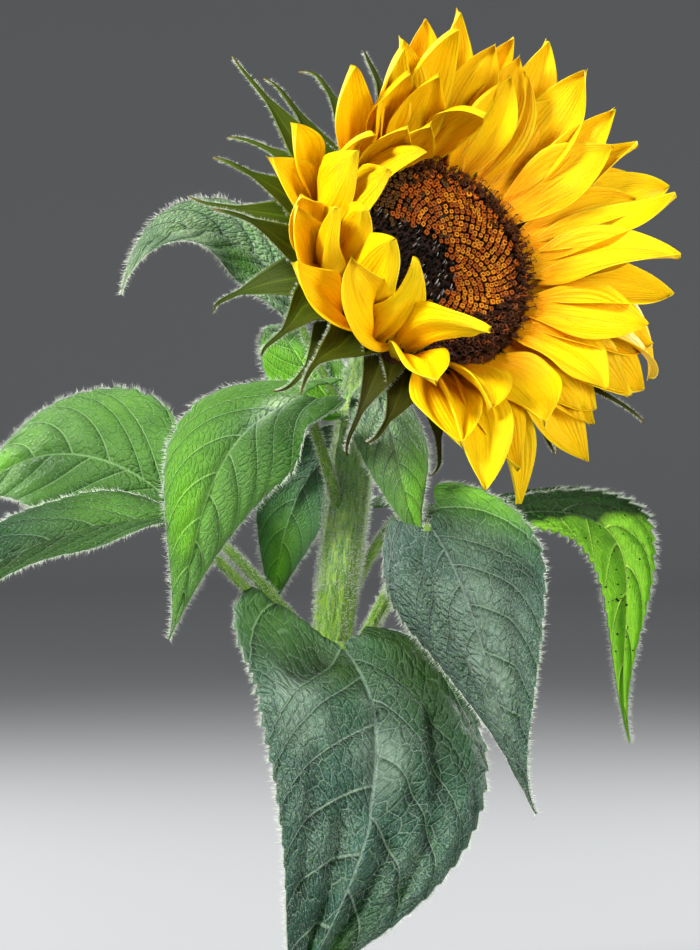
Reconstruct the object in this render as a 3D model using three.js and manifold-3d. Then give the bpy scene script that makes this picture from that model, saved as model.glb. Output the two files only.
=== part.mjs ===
// A dwarf sunflower in flower, rooted in the ground: one stout stem that leans and nods at its neck,
// twelve broad leaves, most of them on long stalks, and one head of ray petals round a domed disc.
// Millimetres, +Z up. The origin is the centre of the stem's flat cut at ground level, and the head
// looks towards -Y and +X.
import * as THREE from "three";
import { mergeVertices } from "three/addons/utils/BufferGeometryUtils.js";
import Module from "manifold-3d";

const wasm = await Module();
wasm.setup();

// Clearance between neighbouring pieces.
const GAP = 0.3;
// Stations along every rib, from its foot to its tip.
const RIB_STEPS = 32;
// Corners of one geometry that are this close are one corner.
const JOIN_DISTANCE = 1e-5;
// The block below ground that the stem's foot is cut with: its side and its depth.
const UNDERGROUND = [80, 40];

// The stem: its route, which starts below the level of its cut, and its radius at shares of its length.
const STEM_ROUTE = [
  [0, 0, -8],
  [0, 0, 12],
  [1, 1, 60],
  [4, 1, 125],
  [8, 1, 180],
  [14, 2, 235],
  [19, 3, 272],
  [25, 1, 300],
];
const STEM_RADII = [
  [0, 14],
  [0.05, 10],
  [0.12, 7.9],
  [0.45, 7.4],
  [0.7, 8.8],
  [0.9, 9.2],
  [1, 9.6],
];
const STEM_SIDES = 12;
const STEM_RINGS = 20;
// Halvings of the stem's length in the search for a height on it.
const HEIGHT_HALVINGS = 30;

// The head: the centre of the disc's rim, the way it looks, and its build from back to front.
const HEAD_CENTRE = new THREE.Vector3(46, -38, 337);
const HEAD_BEARING = -62.5;
const HEAD_PITCH = 22.6;
const BACK_DEPTH = 26;
const NECK_RUN = 13;
const CUP_PROFILE = [
  [9.8, -26],
  [15, -23.5],
  [28, -17],
  [39, -11.5],
  [45.5, -7.6],
  [46.3, -6.2],
  [43.4, -1],
];
const DISC_PROFILE = [
  [42.9, -0.7],
  [43.1, 1.4],
  [41, 3.6],
  [34, 5.4],
  [24, 5.6],
  [13, 3.8],
];
const DISC_HOLLOW = 3;
const HEAD_SIDES = 32;

// Ray petals stand in three rows, the outermost and lowest first: the radius and height of their feet.
const PETAL_ROWS = [
  { radius: 46.1, height: -5.4 },
  { radius: 45.2, height: -3.6 },
  { radius: 44.3, height: -1.8 },
];
const PETAL_THICKNESS = 0.8;
const PETAL_CUP = 0.22;
// Faces across and along one side of a blade.
const PETAL_GRID = [3, 5];
const BRACT_GRID = [2, 4];
const LEAF_GRID = [4, 9];

// Each ray petal: its row, its angle round the head, how far it leans sideways by its tip, its rise
// above the disc's plane at its foot and tip, its length, its width, and how far it has turned about
// its own rib by its tip. Angles are in degrees.
const PETALS = {
  right_1: [0, 17, -10, 50, -14, 74, 21, 2],
  right_2: [1, 6, 2, 35, 38, 66, 19, 35],
  right_3: [0, -4, -20, 58, 36, 65, 25, 28],
  right_4: [0, -18, -18, 44, -56, 73, 26, 24],
  right_5: [1, -27, 26, 34, -34, 57, 26, 20],
  low_1: [0, -48, 12, 28, -16, 42, 29, 2],
  low_2: [1, -64, -34, 34, 34, 43, 26, -14],
  low_3: [0, -78, -12, 40, -26, 62, 19, 20],
  low_4: [0, -91, -14, 54, -14, 66, 27, 0],
  low_5: [1, -101, 4, 28, 38, 53, 27, -18],
  low_6: [2, -86, -20, 62, 24, 40, 22, 16],
  arch: [2, 243, 64, 90, 54, 64, 22, 70],
  left_1: [1, 229, 45, 74, 132, 54, 20, -30],
  left_2: [1, 224, -110, 76, 34, 58, 26, 40],
  left_3: [0, 213, -74, 64, 14, 58, 23, -5],
  left_4: [2, 207, -38, 76, 84, 66, 24, -34],
  left_5: [2, 187, -6, 80, 78, 58, 22, -18],
  left_6: [0, 177, -44, 54, 64, 46, 20, 50],
  left_7: [1, 164, 2, 60, 96, 56, 24, -40],
  left_8: [0, 162, -11, 52, 38, 46, 22, 8],
  left_9: [0, 149, 8, 47, 58, 50, 21, 8],
  left_10: [2, 166, -10, 78, 106, 54, 25, -16],
  left_11: [1, 144, -25, 76, 82, 52, 22, 16],
  top_1: [0, 123, 0, 57, 56, 55, 20, 2],
  top_2: [2, 113, -20, 104, 94, 51, 20, 24],
  top_3: [1, 110, -20, 58, 82, 51, 20, -16],
  top_4: [1, 92, -20, 49, 63, 63, 25, -35],
  top_5: [0, 76, 20, 38, 44, 63, 18, -10],
  top_6: [0, 64, 12, 34, 50, 61, 18, 10],
  top_7: [2, 80, -4, 64, 132, 58, 18, 20],
  top_8: [2, 44, 8, 34, 14, 50, 28, -18],
  top_9: [0, 50, 22, 32, 34, 67, 24, -16],
  top_10: [0, 39, 24, 26, 60, 68, 25, 40],
  top_11: [1, 28, 30, 36, 35, 62, 20, -6],
  top_12: [0, 26, -4, 30, 34, 63, 20, 45],
};

// Green bracts behind the petals stand in two rows, the outer and lower first.
const BRACT_ROWS = [
  { radius: 36, height: -14.5 },
  { radius: 43, height: -10.2 },
];
const BRACT_WIDTH = 15;
const BRACT_THICKNESS = 1;
const BRACT_CUP = 0.3;

// Each bract: its row, its angle round the head, its sideways lean by its tip, its rise above the
// disc's plane at its foot and tip, and its length. Angles are in degrees.
const BRACTS = [
  [0, 4, 6, 18, -34, 56],
  [1, 22, 0, 26, -24, 52],
  [0, 42, -6, 20, -28, 54],
  [1, 60, 8, 24, -24, 54],
  [0, 76, 0, 20, -30, 54],
  [1, 93, 8, 38, -26, 58],
  [1, 114, -8, 48, -36, 56],
  [0, 122, -8, 14, -8, 64],
  [1, 130, -11, 8, 0, 70],
  [0, 136, 8, 18, -28, 58],
  [1, 152, -2, 20, -10, 52],
  [0, 158, 8, 28, -38, 64],
  [1, 175, -28, 30, -12, 52],
  [0, 182, -8, 8, -95, 58],
  [1, 197, 34, 26, -38, 44],
  [0, 210, 28, 24, -46, 50],
  [1, 219, 5, 36, 0, 52],
  [0, 237, 8, 46, -56, 60],
  [1, 250, -26, 30, -30, 44],
  [0, 267, 18, 6, -42, 48],
  [1, 302, 6, 6, -24, 49],
  [0, 310, 10, 7, -43, 62],
  [1, 317, 9, 2, -38, 48],
  [0, 320, 18, 9, -5, 78],
  [0, 334, 0, 20, -30, 52],
  [1, 348, -8, 24, -20, 54],
];

// Leaves. foot is where stalk and blade meet, node the height where the stalk leaves the stem, bow
// how far the stalk arches above a straight line and stalk its radius there; a leaf with none of
// these sits on the stem. A blade's bearing and pitch are given at its foot, on its way and at its
// tip; face is the bearing and pitch that its upper side looks to, at foot and tip. lobes is how far
// its left and right foot lobes reach back, as shares of its length. fold and cup are how far the
// two halves rise from the rib, and ripple is the height of the waves along its margins.
const LEAF_THICKNESS = 1.6;
// Waves along a whole margin, and how soon they start at the foot.
const RIPPLE_WAVES = 2;
const RIPPLE_START = 3;
const LEAVES = {
  front: {
    node: 118,
    foot: [13, -42, 188],
    bow: 12,
    stalk: 3.4,
    length: 165,
    width: 96,
    bearing: [-54, -90, -300],
    pitch: [-32, -98, -42],
    face: [[-60, 20], [-86, -12]],
    lobes: [0.2, 0.05],
    fold: 0.1,
    cup: -0.12,
    ripple: 3,
  },
  right_front: {
    node: 150,
    foot: [47, -45, 234],
    bow: 14,
    stalk: 3,
    length: 125,
    width: 64,
    bearing: [-65, -50, -30],
    pitch: [-32, -88, -60],
    face: [[-120, 30], [-155, -10]],
    lobes: [0.17, 0.17],
    fold: 0,
    cup: -0.3,
    ripple: 2,
  },
  right_back: {
    node: 158,
    foot: [58, 22, 236],
    bow: 14,
    stalk: 3,
    length: 196,
    width: 40,
    bearing: [4, 80, 118],
    pitch: [15, -22, -119],
    face: [[-86, 100], [90, -15]],
    lobes: [0.14, 0.14],
    fold: 0.1,
    cup: -0.1,
    ripple: 2,
  },
  left_front: {
    node: 232,
    foot: [-2, -35, 284],
    bow: 4,
    stalk: 2.6,
    length: 115,
    width: 48,
    bearing: [-182, -140, -125],
    pitch: [-14, -102, -58],
    face: [[-60, 60], [-45, 5]],
    lobes: [0.14, 0.14],
    fold: 0.16,
    cup: -0.3,
    ripple: 2,
  },
  far_left: {
    node: 176,
    foot: [-56, -20, 245],
    bow: 10,
    stalk: 2.8,
    length: 116,
    width: 65,
    bearing: [165, 140, 146],
    pitch: [40, -8, -52],
    face: [[-118, 16], [-91, 48]],
    lobes: [0.02, 0.02],
    fold: 0.1,
    cup: -0.1,
    ripple: 2,
  },
  far_left_low: {
    node: 168,
    foot: [-52, -40, 236],
    bow: 8,
    stalk: 2.6,
    length: 123,
    width: 36,
    bearing: [199, 178, 174],
    pitch: [3, -30, -41],
    face: [[-91, 68], [-82, 24]],
    lobes: [0.02, 0.02],
    fold: 0.3,
    cup: 0,
    ripple: 1.5,
  },
  high_left: {
    node: 270,
    foot: [-7, 8, 322],
    bow: -4,
    stalk: 2.2,
    length: 104,
    width: 31,
    bearing: [182, 238, 213],
    pitch: [64, 12, -80],
    face: [[-56, 16], [-128, 17]],
    lobes: [0.08, 0.08],
    fold: 0.2,
    cup: 0,
    ripple: 1,
  },
  neck_left: {
    foot: [13, 1, 279],
    length: 72,
    width: 36,
    bearing: [160, 125, 85],
    pitch: [42, 70, -24],
    face: [[-64, 27], [-111, 66]],
    lobes: [0.02, 0.02],
    fold: 0.1,
    cup: -0.2,
    ripple: 1,
  },
  neck_right: {
    foot: [26, -6, 288],
    length: 72,
    width: 33,
    bearing: [-64, -60, -20],
    pitch: [-40, -94, -56],
    face: [[-58, 30], [-75, 9]],
    lobes: [0.04, 0.04],
    fold: 0.1,
    cup: -0.2,
    ripple: 1,
  },
  back_left: {
    node: 200,
    foot: [8, 30, 264],
    bow: 6,
    stalk: 2.8,
    length: 78,
    width: 32,
    bearing: [155, 160, 170],
    pitch: [-36, -98, -72],
    face: [[100, 40], [60, 0]],
    lobes: [0.16, 0.16],
    fold: 0.1,
    cup: -0.1,
    ripple: 2,
  },
  back_right: {
    node: 190,
    foot: [40, 50, 240],
    bow: 12,
    stalk: 2.8,
    length: 84,
    width: 50,
    bearing: [40, 50, 60],
    pitch: [10, -50, -92],
    face: [[-120, 60], [60, 50]],
    lobes: [0.16, 0.16],
    fold: 0.12,
    cup: -0.1,
    ripple: 2,
  },
  back_low: {
    node: 106,
    foot: [20, 54, 166],
    bow: 12,
    stalk: 3,
    length: 122,
    width: 74,
    bearing: [100, 92, 84],
    pitch: [10, -62, -88],
    face: [[90, 80], [88, 8]],
    lobes: [0.18, 0.18],
    fold: 0.1,
    cup: -0.1,
    ripple: 2.5,
  },
};
const STALK_TIP_SHARE = 0.7;
const STALK_SIDES = 6;
const STALK_RINGS = 6;
// Where a stalk arches most, as a share of the way from stem to foot, and the side its rings start at.
const STALK_BEND = 0.55;
const STALK_SIDE = new THREE.Vector3(0.3, 0.2, 1);

const petalFinish = { color: 0xffc400, roughness: 0.55, metalness: 0 };
const leafFinish = { color: 0x4f8f3c, roughness: 0.75, metalness: 0 };
const stemFinish = { color: 0x7da34e, roughness: 0.8, metalness: 0 };
const bractFinish = { color: 0x5f7d24, roughness: 0.75, metalness: 0 };
const discFinish = { color: 0x4a2410, roughness: 0.9, metalness: 0 };

const radians = THREE.MathUtils.degToRad;

// The unit vector at a bearing, counted from +X towards +Y, and a pitch above the XY plane.
function heading(bearing, pitch) {
  const b = radians(bearing);
  const p = radians(pitch);
  return new THREE.Vector3(Math.cos(p) * Math.cos(b), Math.cos(p) * Math.sin(b), Math.sin(p));
}

// A value that starts at a, is drawn towards b on its way and ends at c, as t goes from 0 to 1.
function eased([a, b, c], t) {
  return a * (1 - t) ** 2 + 2 * b * t * (1 - t) + c * t * t;
}

// A rib grown from its foot: points, directions and upper sides at RIB_STEPS + 1 stations.
function growRib(foot, length, bearing, pitch, faceAt) {
  const at = foot.clone();
  const stations = [];
  for (let i = 0; i <= RIB_STEPS; i++) {
    const t = i / RIB_STEPS;
    const along = heading(eased(bearing, t), eased(pitch, t));
    const face = faceAt(t, along);
    face.addScaledVector(along, -face.dot(along)).normalize();
    stations.push({ at: at.clone(), along, face });
    at.addScaledVector(along, length / RIB_STEPS);
  }
  return { length, stations };
}

// The rib's frame at share t of its length; below 0 it runs straight back from the foot.
function ribAt({ length, stations }, t) {
  if (t <= 0) {
    const { at, along, face } = stations[0];
    return { at: at.clone().addScaledVector(along, t * length), along, face };
  }
  const i = Math.min(Math.floor(t * RIB_STEPS), RIB_STEPS - 1);
  const mix = t * RIB_STEPS - i;
  const [a, b] = [stations[i], stations[i + 1]];
  return {
    at: a.at.clone().lerp(b.at, mix),
    along: a.along.clone().lerp(b.along, mix).normalize(),
    face: a.face.clone().lerp(b.face, mix).normalize(),
  };
}

// Half widths along a blade, as shares of its greatest half width.
function leafOutline(t) {
  const [foot, widest, tip, fullness] = [0.5, 0.27, 0.015, 0.8];
  if (t < widest) return foot + (1 - foot) * Math.sin((Math.PI / 2) * (t / widest));
  const rest = (t - widest) / (1 - widest);
  return Math.max(0.5 + 0.5 * Math.cos(Math.PI * rest), 0) ** fullness + tip;
}

function petalOutline(t) {
  const [foot, widest, tip, fullness] = [0.36, 0.5, 0.03, 0.9];
  if (t < widest) return foot + (1 - foot) * Math.sin((Math.PI / 2) * (t / widest)) ** 1.2;
  const rest = (t - widest) / (1 - widest);
  return (1 - rest ** 2.4) ** fullness + tip;
}

function bractOutline(t) {
  const [tip, fullness, slimness] = [0.04, 0.9, 1.35];
  return (1 - t) ** slimness * (1 + fullness * t) + tip;
}

// A point of a blade: t runs from foot to tip, s from one edge at -1 to the other at 1. extra widens
// the blade all round.
function bladePoint(rib, form, t, s, lift, extra = 0) {
  const reach = t - form.lobes[s < 0 ? 0 : 1] * s * s * (1 - t) ** 3;
  const { at, along, face } = ribAt(rib, reach);
  const side = face.clone().cross(along);
  const half = 0.5 * form.width * form.outline(THREE.MathUtils.clamp(t, 0, 1)) + extra;
  const phase = 2 * Math.PI * RIPPLE_WAVES * t + (s > 0 ? Math.PI / 2 : 0);
  const wave = form.ripple * Math.sin(phase) * s * s * Math.min(RIPPLE_START * t, 1) * (1 - t);
  const rise = half * (form.fold * Math.abs(s) + form.cup * s * s) + wave;
  return at
    .addScaledVector(side, (half * s) / Math.hypot(1, form.fold))
    .addScaledVector(face, rise + lift);
}

// The same geometry with its corners joined and each moved to where place puts it.
function reshaped(geometry, place) {
  geometry.deleteAttribute("normal");
  geometry.deleteAttribute("uv");
  const joined = mergeVertices(geometry, JOIN_DISTANCE);
  const position = joined.getAttribute("position");
  for (let i = 0; i < position.count; i++) {
    const p = place(position.getX(i), position.getY(i), position.getZ(i));
    position.setXYZ(i, p.x, p.y, p.z);
  }
  joined.computeVertexNormals();
  return joined;
}

// A thin closed blade on a rib, or with extra the room that it needs.
function bladeGeometry(rib, form, [across, along], extra = 0) {
  const slab = new THREE.BoxGeometry(2, 1, 1, across, 1, along);
  const longer = 1 + (2 * extra) / form.length;
  return reshaped(slab, (x, y, z) =>
    bladePoint(rib, form, z * longer + 0.5, x, y * (form.thickness + 2 * extra), extra),
  );
}

// A limb round a curve, with a flat end at each side; side keeps its ring corners from turning.
function limbGeometry(curve, radiusAt, sides, rings, side) {
  const rod = new THREE.CylinderGeometry(1, 1, 1, sides, rings);
  return reshaped(rod, (x, y, z) => {
    const t = y + 0.5;
    const along = curve.getTangentAt(t);
    const across = side.clone().addScaledVector(along, -side.dot(along)).normalize();
    const third = across.clone().cross(along);
    const radius = radiusAt(t);
    return curve
      .getPointAt(t)
      .addScaledVector(across, x * radius)
      .addScaledVector(third, z * radius);
  });
}

// The value at share t in a list of [share, value] pairs.
function valueAt(pairs, t) {
  const i = Math.max(1, pairs.findIndex(([share]) => share >= t));
  const [[t0, v0], [t1, v1]] = [pairs[i - 1], pairs[i]];
  return v0 + ((v1 - v0) * (t - t0)) / (t1 - t0);
}

function solidOf(geometry) {
  return new wasm.Manifold(
    new wasm.Mesh({
      numProp: 3,
      vertProperties: geometry.getAttribute("position").array,
      triVerts: new Uint32Array(geometry.index.array),
    }),
  );
}

// What is left of a solid once the room of each of its neighbours is taken away.
function clearOf(solid, rooms) {
  return rooms.reduce((rest, room) => rest.subtract(room), solid);
}

// The largest body of a solid, as a geometry.
function geometryOf(solid) {
  const [body] = solid.decompose().sort((a, b) => b.volume() - a.volume());
  const { vertProperties, triVerts } = body.getMesh();
  const geometry = new THREE.BufferGeometry();
  geometry.setAttribute("position", new THREE.BufferAttribute(vertProperties, 3));
  geometry.setIndex(new THREE.BufferAttribute(triVerts, 1));
  geometry.computeVertexNormals();
  return geometry;
}

function named(name, geometry, finish) {
  const mesh = new THREE.Mesh(geometry, new THREE.MeshStandardMaterial(finish));
  mesh.name = name;
  return mesh;
}

const headAxis = heading(HEAD_BEARING, HEAD_PITCH);
const headRight = new THREE.Vector3(0, 0, 1).cross(headAxis).normalize();
const headUp = headAxis.clone().cross(headRight);

// The stem's line ends square on the middle of the cup's back.
const neckEnd = HEAD_CENTRE.clone().addScaledVector(headAxis, -BACK_DEPTH - GAP);
const neckStart = neckEnd.clone().addScaledVector(headAxis, -NECK_RUN);
const stemCurve = new THREE.CatmullRomCurve3([
  ...STEM_ROUTE.map((p) => new THREE.Vector3(...p)),
  neckStart,
  neckEnd,
]);

function makeStem(extra = 0) {
  const radiusAt = (t) => valueAt(STEM_RADII, t) + extra;
  return limbGeometry(stemCurve, radiusAt, STEM_SIDES, STEM_RINGS, new THREE.Vector3(1, 0, 0));
}

// All that lies below the ground by the stem's foot.
function makeUnderground() {
  const [side, depth] = UNDERGROUND;
  const block = new THREE.BoxGeometry(side, side, depth);
  return reshaped(block, (x, y, z) => new THREE.Vector3(x, y, z - depth / 2));
}

// The stem's own point at a height.
function stemPointAt(height) {
  let low = 0;
  let high = 1;
  for (let i = 0; i < HEIGHT_HALVINGS; i++) {
    const middle = (low + high) / 2;
    if (stemCurve.getPointAt(middle).z < height) low = middle;
    else high = middle;
  }
  return stemCurve.getPointAt(low);
}

function stalkCurve(leaf) {
  const node = stemPointAt(leaf.node);
  const foot = new THREE.Vector3(...leaf.foot);
  const middle = node.clone().lerp(foot, STALK_BEND);
  middle.z += leaf.bow;
  return new THREE.QuadraticBezierCurve3(node, middle, foot);
}

// A leaf stalk, or with extra the room that it needs.
function makeStalk(leaf, extra = 0) {
  const radiusAt = (t) => leaf.stalk * (1 - (1 - STALK_TIP_SHARE) * t) + extra;
  return limbGeometry(stalkCurve(leaf), radiusAt, STALK_SIDES, STALK_RINGS, STALK_SIDE);
}

function makeLeafBlade(leaf, extra = 0) {
  const [foot, tip] = leaf.face.map(([bearing, pitch]) => heading(bearing, pitch));
  const rib = growRib(
    new THREE.Vector3(...leaf.foot),
    leaf.length,
    leaf.bearing,
    leaf.pitch,
    (t) => foot.clone().lerp(tip, t),
  );
  const form = { ...leaf, thickness: LEAF_THICKNESS, outline: leafOutline };
  return bladeGeometry(rib, form, LEAF_GRID, extra);
}

// The upper side of a blade that leaves the head's axis: towards the axis when it stands upright.
function inwardFace(bearing, pitch, roll) {
  return (t, along) => {
    const face = heading(eased(bearing, t), eased(pitch, t) + 90);
    return face.applyAxisAngle(along, -radians(roll * t));
  };
}

// A blade that stands round the head, in the head's own frame, foot on a ring.
function headBlade(angle, lean, rise, roll, ring, form, grid, extra = 0) {
  const foot = heading(angle, 0).multiplyScalar(ring.radius);
  foot.z = ring.height;
  const bearing = [angle, angle + lean / 2, angle + lean];
  const pitch = [rise[0], (rise[0] + rise[1]) / 2, rise[1]];
  const rib = growRib(foot, form.length, bearing, pitch, inwardFace(bearing, pitch, roll));
  return bladeGeometry(rib, form, grid, extra);
}

function makePetal([row, angle, lean, riseFoot, riseTip, length, width, roll], extra = 0) {
  const form = {
    length,
    width,
    thickness: PETAL_THICKNESS,
    outline: petalOutline,
    lobes: [0, 0],
    fold: 0,
    cup: PETAL_CUP,
    ripple: 0,
  };
  return headBlade(angle, lean, [riseFoot, riseTip], roll, PETAL_ROWS[row], form, PETAL_GRID, extra);
}

// A turned solid from a profile of [radius, height] pairs, closed on the axis at both ends.
function turned(profile, bottom, top, sides) {
  const points = [[0, bottom], ...profile, [0, top]].map(([r, z]) => new THREE.Vector2(r, z));
  const lathe = new THREE.LatheGeometry(points, sides);
  return reshaped(lathe, (x, y, z) => new THREE.Vector3(x, -z, y));
}

function makeBract([row, angle, lean, riseFoot, riseTip, length]) {
  const form = {
    length,
    width: BRACT_WIDTH,
    thickness: BRACT_THICKNESS,
    outline: bractOutline,
    lobes: [0, 0],
    fold: 0,
    cup: BRACT_CUP,
    ripple: 0,
  };
  return headBlade(angle, lean, [riseFoot, riseTip], 0, BRACT_ROWS[row], form, BRACT_GRID);
}

// The green cup under the disc with every bract fused to its flank.
function makeInvolucre() {
  const cup = solidOf(turned(CUP_PROFILE, -BACK_DEPTH, CUP_PROFILE.at(-1)[1], HEAD_SIDES));
  return BRACTS.reduce((solid, bract) => solid.add(solidOf(makeBract(bract))), cup);
}

const plant = new THREE.Group();
const head = new THREE.Group();
head.position.copy(HEAD_CENTRE);
head.quaternion.setFromRotationMatrix(new THREE.Matrix4().makeBasis(headRight, headUp, headAxis));
plant.add(head);

const stem = clearOf(solidOf(makeStem()), [solidOf(makeUnderground())]);
plant.add(named("stem", geometryOf(stem), stemFinish));
const stemRoom = solidOf(makeStem(GAP));
const stalkRooms = [];
for (const [name, leaf] of Object.entries(LEAVES)) {
  if (!leaf.stalk) continue;
  const stalk = clearOf(solidOf(makeStalk(leaf)), [stemRoom]);
  plant.add(named(`stalk_${name}`, geometryOf(stalk), stemFinish));
  stalkRooms.push(solidOf(makeStalk(leaf, GAP)));
}
const leafRooms = [];
for (const [name, leaf] of Object.entries(LEAVES)) {
  const blade = clearOf(solidOf(makeLeafBlade(leaf)), [stemRoom, ...stalkRooms, ...leafRooms]);
  plant.add(named(`leaf_${name}`, geometryOf(blade), leafFinish));
  leafRooms.push(solidOf(makeLeafBlade(leaf, GAP)));
}

const petalRooms = [];
for (const [name, petal] of Object.entries(PETALS)) {
  const blade = clearOf(solidOf(makePetal(petal)), petalRooms);
  head.add(named(`petal_${name}`, geometryOf(blade), petalFinish));
  petalRooms.push(solidOf(makePetal(petal, GAP)));
}
const disc = solidOf(turned(DISC_PROFILE, DISC_PROFILE[0][1], DISC_HOLLOW, HEAD_SIDES));
head.add(named("disc", geometryOf(clearOf(disc, petalRooms)), discFinish));
head.add(named("involucre", geometryOf(clearOf(makeInvolucre(), petalRooms)), bractFinish));

export default plant;
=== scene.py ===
import math
from functools import partial

import bpy
import numpy as np
from bpy.props import FloatProperty, FloatVectorProperty, IntProperty, PointerProperty
from bpy.types import Operator, Panel, PropertyGroup
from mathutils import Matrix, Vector


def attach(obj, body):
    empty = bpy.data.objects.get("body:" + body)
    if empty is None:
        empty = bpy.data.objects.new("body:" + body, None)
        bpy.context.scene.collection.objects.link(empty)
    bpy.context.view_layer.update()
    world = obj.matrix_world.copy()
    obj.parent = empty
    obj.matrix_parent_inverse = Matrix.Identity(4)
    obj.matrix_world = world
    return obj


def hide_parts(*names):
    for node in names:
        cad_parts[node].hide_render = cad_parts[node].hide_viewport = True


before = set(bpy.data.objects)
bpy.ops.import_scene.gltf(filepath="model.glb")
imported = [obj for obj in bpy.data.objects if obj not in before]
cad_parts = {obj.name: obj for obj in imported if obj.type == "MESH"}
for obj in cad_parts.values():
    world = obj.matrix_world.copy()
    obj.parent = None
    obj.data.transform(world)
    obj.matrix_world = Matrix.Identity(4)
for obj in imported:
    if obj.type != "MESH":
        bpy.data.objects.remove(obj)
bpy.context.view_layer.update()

bl_info = {
    "name": "Dwarf Sunflower",
    "version": (1, 0, 0),
    "blender": (4, 5, 0),
    "location": "3D View > Sidebar > Sunflower",
    "description": "Builds a hairy dwarf sunflower with one nodding head on its packed frame",
    "category": "Add Mesh",
}

MM = 0.001
BODY = "root"

# Driving dimensions, in millimetres
RIB_STEPS = 32
STEM_ROUTE = [
    (0, 0, -8), (0, 0, 12), (1, 1, 60), (4, 1, 125), (8, 1, 180), (14, 2, 235), (19, 3, 272), (25, 1, 300),
]
STEM_RADII = [(0, 14), (0.05, 10), (0.12, 7.9), (0.45, 7.4), (0.7, 8.8), (0.9, 9.2), (1, 9.6)]
GAP = 0.3
# Share of a line's length over which its direction is taken.
TANGENT_STEP = 0.004
# A full turn, to the two places that the random draws use.
FULL_TURN = 6.28
HEAD_CENTRE = np.array([46.0, -38.0, 337.0])
HEAD_BEARING = -62.5
HEAD_PITCH = 22.6
BACK_DEPTH = 26
NECK_RUN = 13
CUP_PROFILE = [(9.8, -26), (15, -23.5), (28, -17), (39, -11.5), (45.5, -7.6), (46.3, -6.2), (43.4, -1)]
DISC_PROFILE = [(0, 3), (13, 3.8), (24, 5.6), (34, 5.4), (41, 3.6), (43.1, 1.4), (42.9, -0.7)]
PETAL_ROWS = [(46.1, -5.4), (45.2, -3.6), (44.3, -1.8)]
PETAL_CUP = 0.22
BRACT_ROWS = [(36, -14.5), (43, -10.2)]
BRACT_WIDTH = 17
BRACT_CUP = 0.3
STALK_TIP_SHARE = 0.7
STALK_BEND = 0.55
RIPPLE_WAVES = 2
RIPPLE_START = 3
# Where a blade is widest, as a share of its length.
LEAF_WIDEST = 0.27
PETAL_WIDEST = 0.5
# Width of a leaf's foot as a share of its widest, with lobes and without, and what counts as a lobe.
BROAD_FOOT = 0.38
NARROW_FOOT = 0.14
LOBED_FROM = 0.1
# Half the thickness of each kind of blade.
LEAF_HALF = 0.28
PETAL_HALF = 0.2
BRACT_HALF = 0.3

# Each ray petal: row, angle round the head, sideways lean, rise at foot and tip, length, width, roll.
PETALS = {
    "right_1": (0, 17, -10, 50, -14, 74, 21, 2),
    "right_2": (1, 6, 2, 35, 38, 66, 19, 35),
    "right_3": (0, -4, -20, 58, 36, 65, 25, 28),
    "right_4": (0, -18, -18, 44, -56, 73, 26, 24),
    "right_5": (1, -27, 26, 34, -34, 57, 26, 20),
    "low_1": (0, -48, 12, 28, -16, 42, 29, 2),
    "low_2": (1, -64, -34, 34, 34, 43, 26, -14),
    "low_3": (0, -78, -12, 40, -26, 62, 19, 20),
    "low_4": (0, -91, -14, 54, -14, 66, 27, 0),
    "low_5": (1, -101, 4, 28, 38, 53, 27, -18),
    "low_6": (2, -86, -20, 62, 24, 40, 22, 16),
    "arch": (2, 243, 64, 90, 54, 64, 22, 70),
    "left_1": (1, 229, 45, 74, 132, 54, 20, -30),
    "left_2": (1, 224, -110, 76, 34, 58, 26, 40),
    "left_3": (0, 213, -74, 64, 14, 58, 23, -5),
    "left_4": (2, 207, -38, 76, 84, 66, 24, -34),
    "left_5": (2, 187, -6, 80, 78, 58, 22, -18),
    "left_6": (0, 177, -44, 54, 64, 46, 20, 50),
    "left_7": (1, 164, 2, 60, 96, 56, 24, -40),
    "left_8": (0, 162, -11, 52, 38, 46, 22, 8),
    "left_9": (0, 149, 8, 47, 58, 50, 21, 8),
    "left_10": (2, 166, -10, 78, 106, 54, 25, -16),
    "left_11": (1, 144, -25, 76, 82, 52, 22, 16),
    "top_1": (0, 123, 0, 57, 56, 55, 20, 2),
    "top_2": (2, 113, -20, 104, 94, 51, 20, 24),
    "top_3": (1, 110, -20, 58, 82, 51, 20, -16),
    "top_4": (1, 92, -20, 49, 63, 63, 25, -35),
    "top_5": (0, 76, 20, 38, 44, 63, 18, -10),
    "top_6": (0, 64, 12, 34, 50, 61, 18, 10),
    "top_7": (2, 80, -4, 64, 132, 58, 18, 20),
    "top_8": (2, 44, 8, 34, 14, 50, 28, -18),
    "top_9": (0, 50, 22, 32, 34, 67, 24, -16),
    "top_10": (0, 39, 24, 26, 60, 68, 25, 40),
    "top_11": (1, 28, 30, 36, 35, 62, 20, -6),
    "top_12": (0, 26, -4, 30, 34, 63, 20, 45),
}
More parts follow.
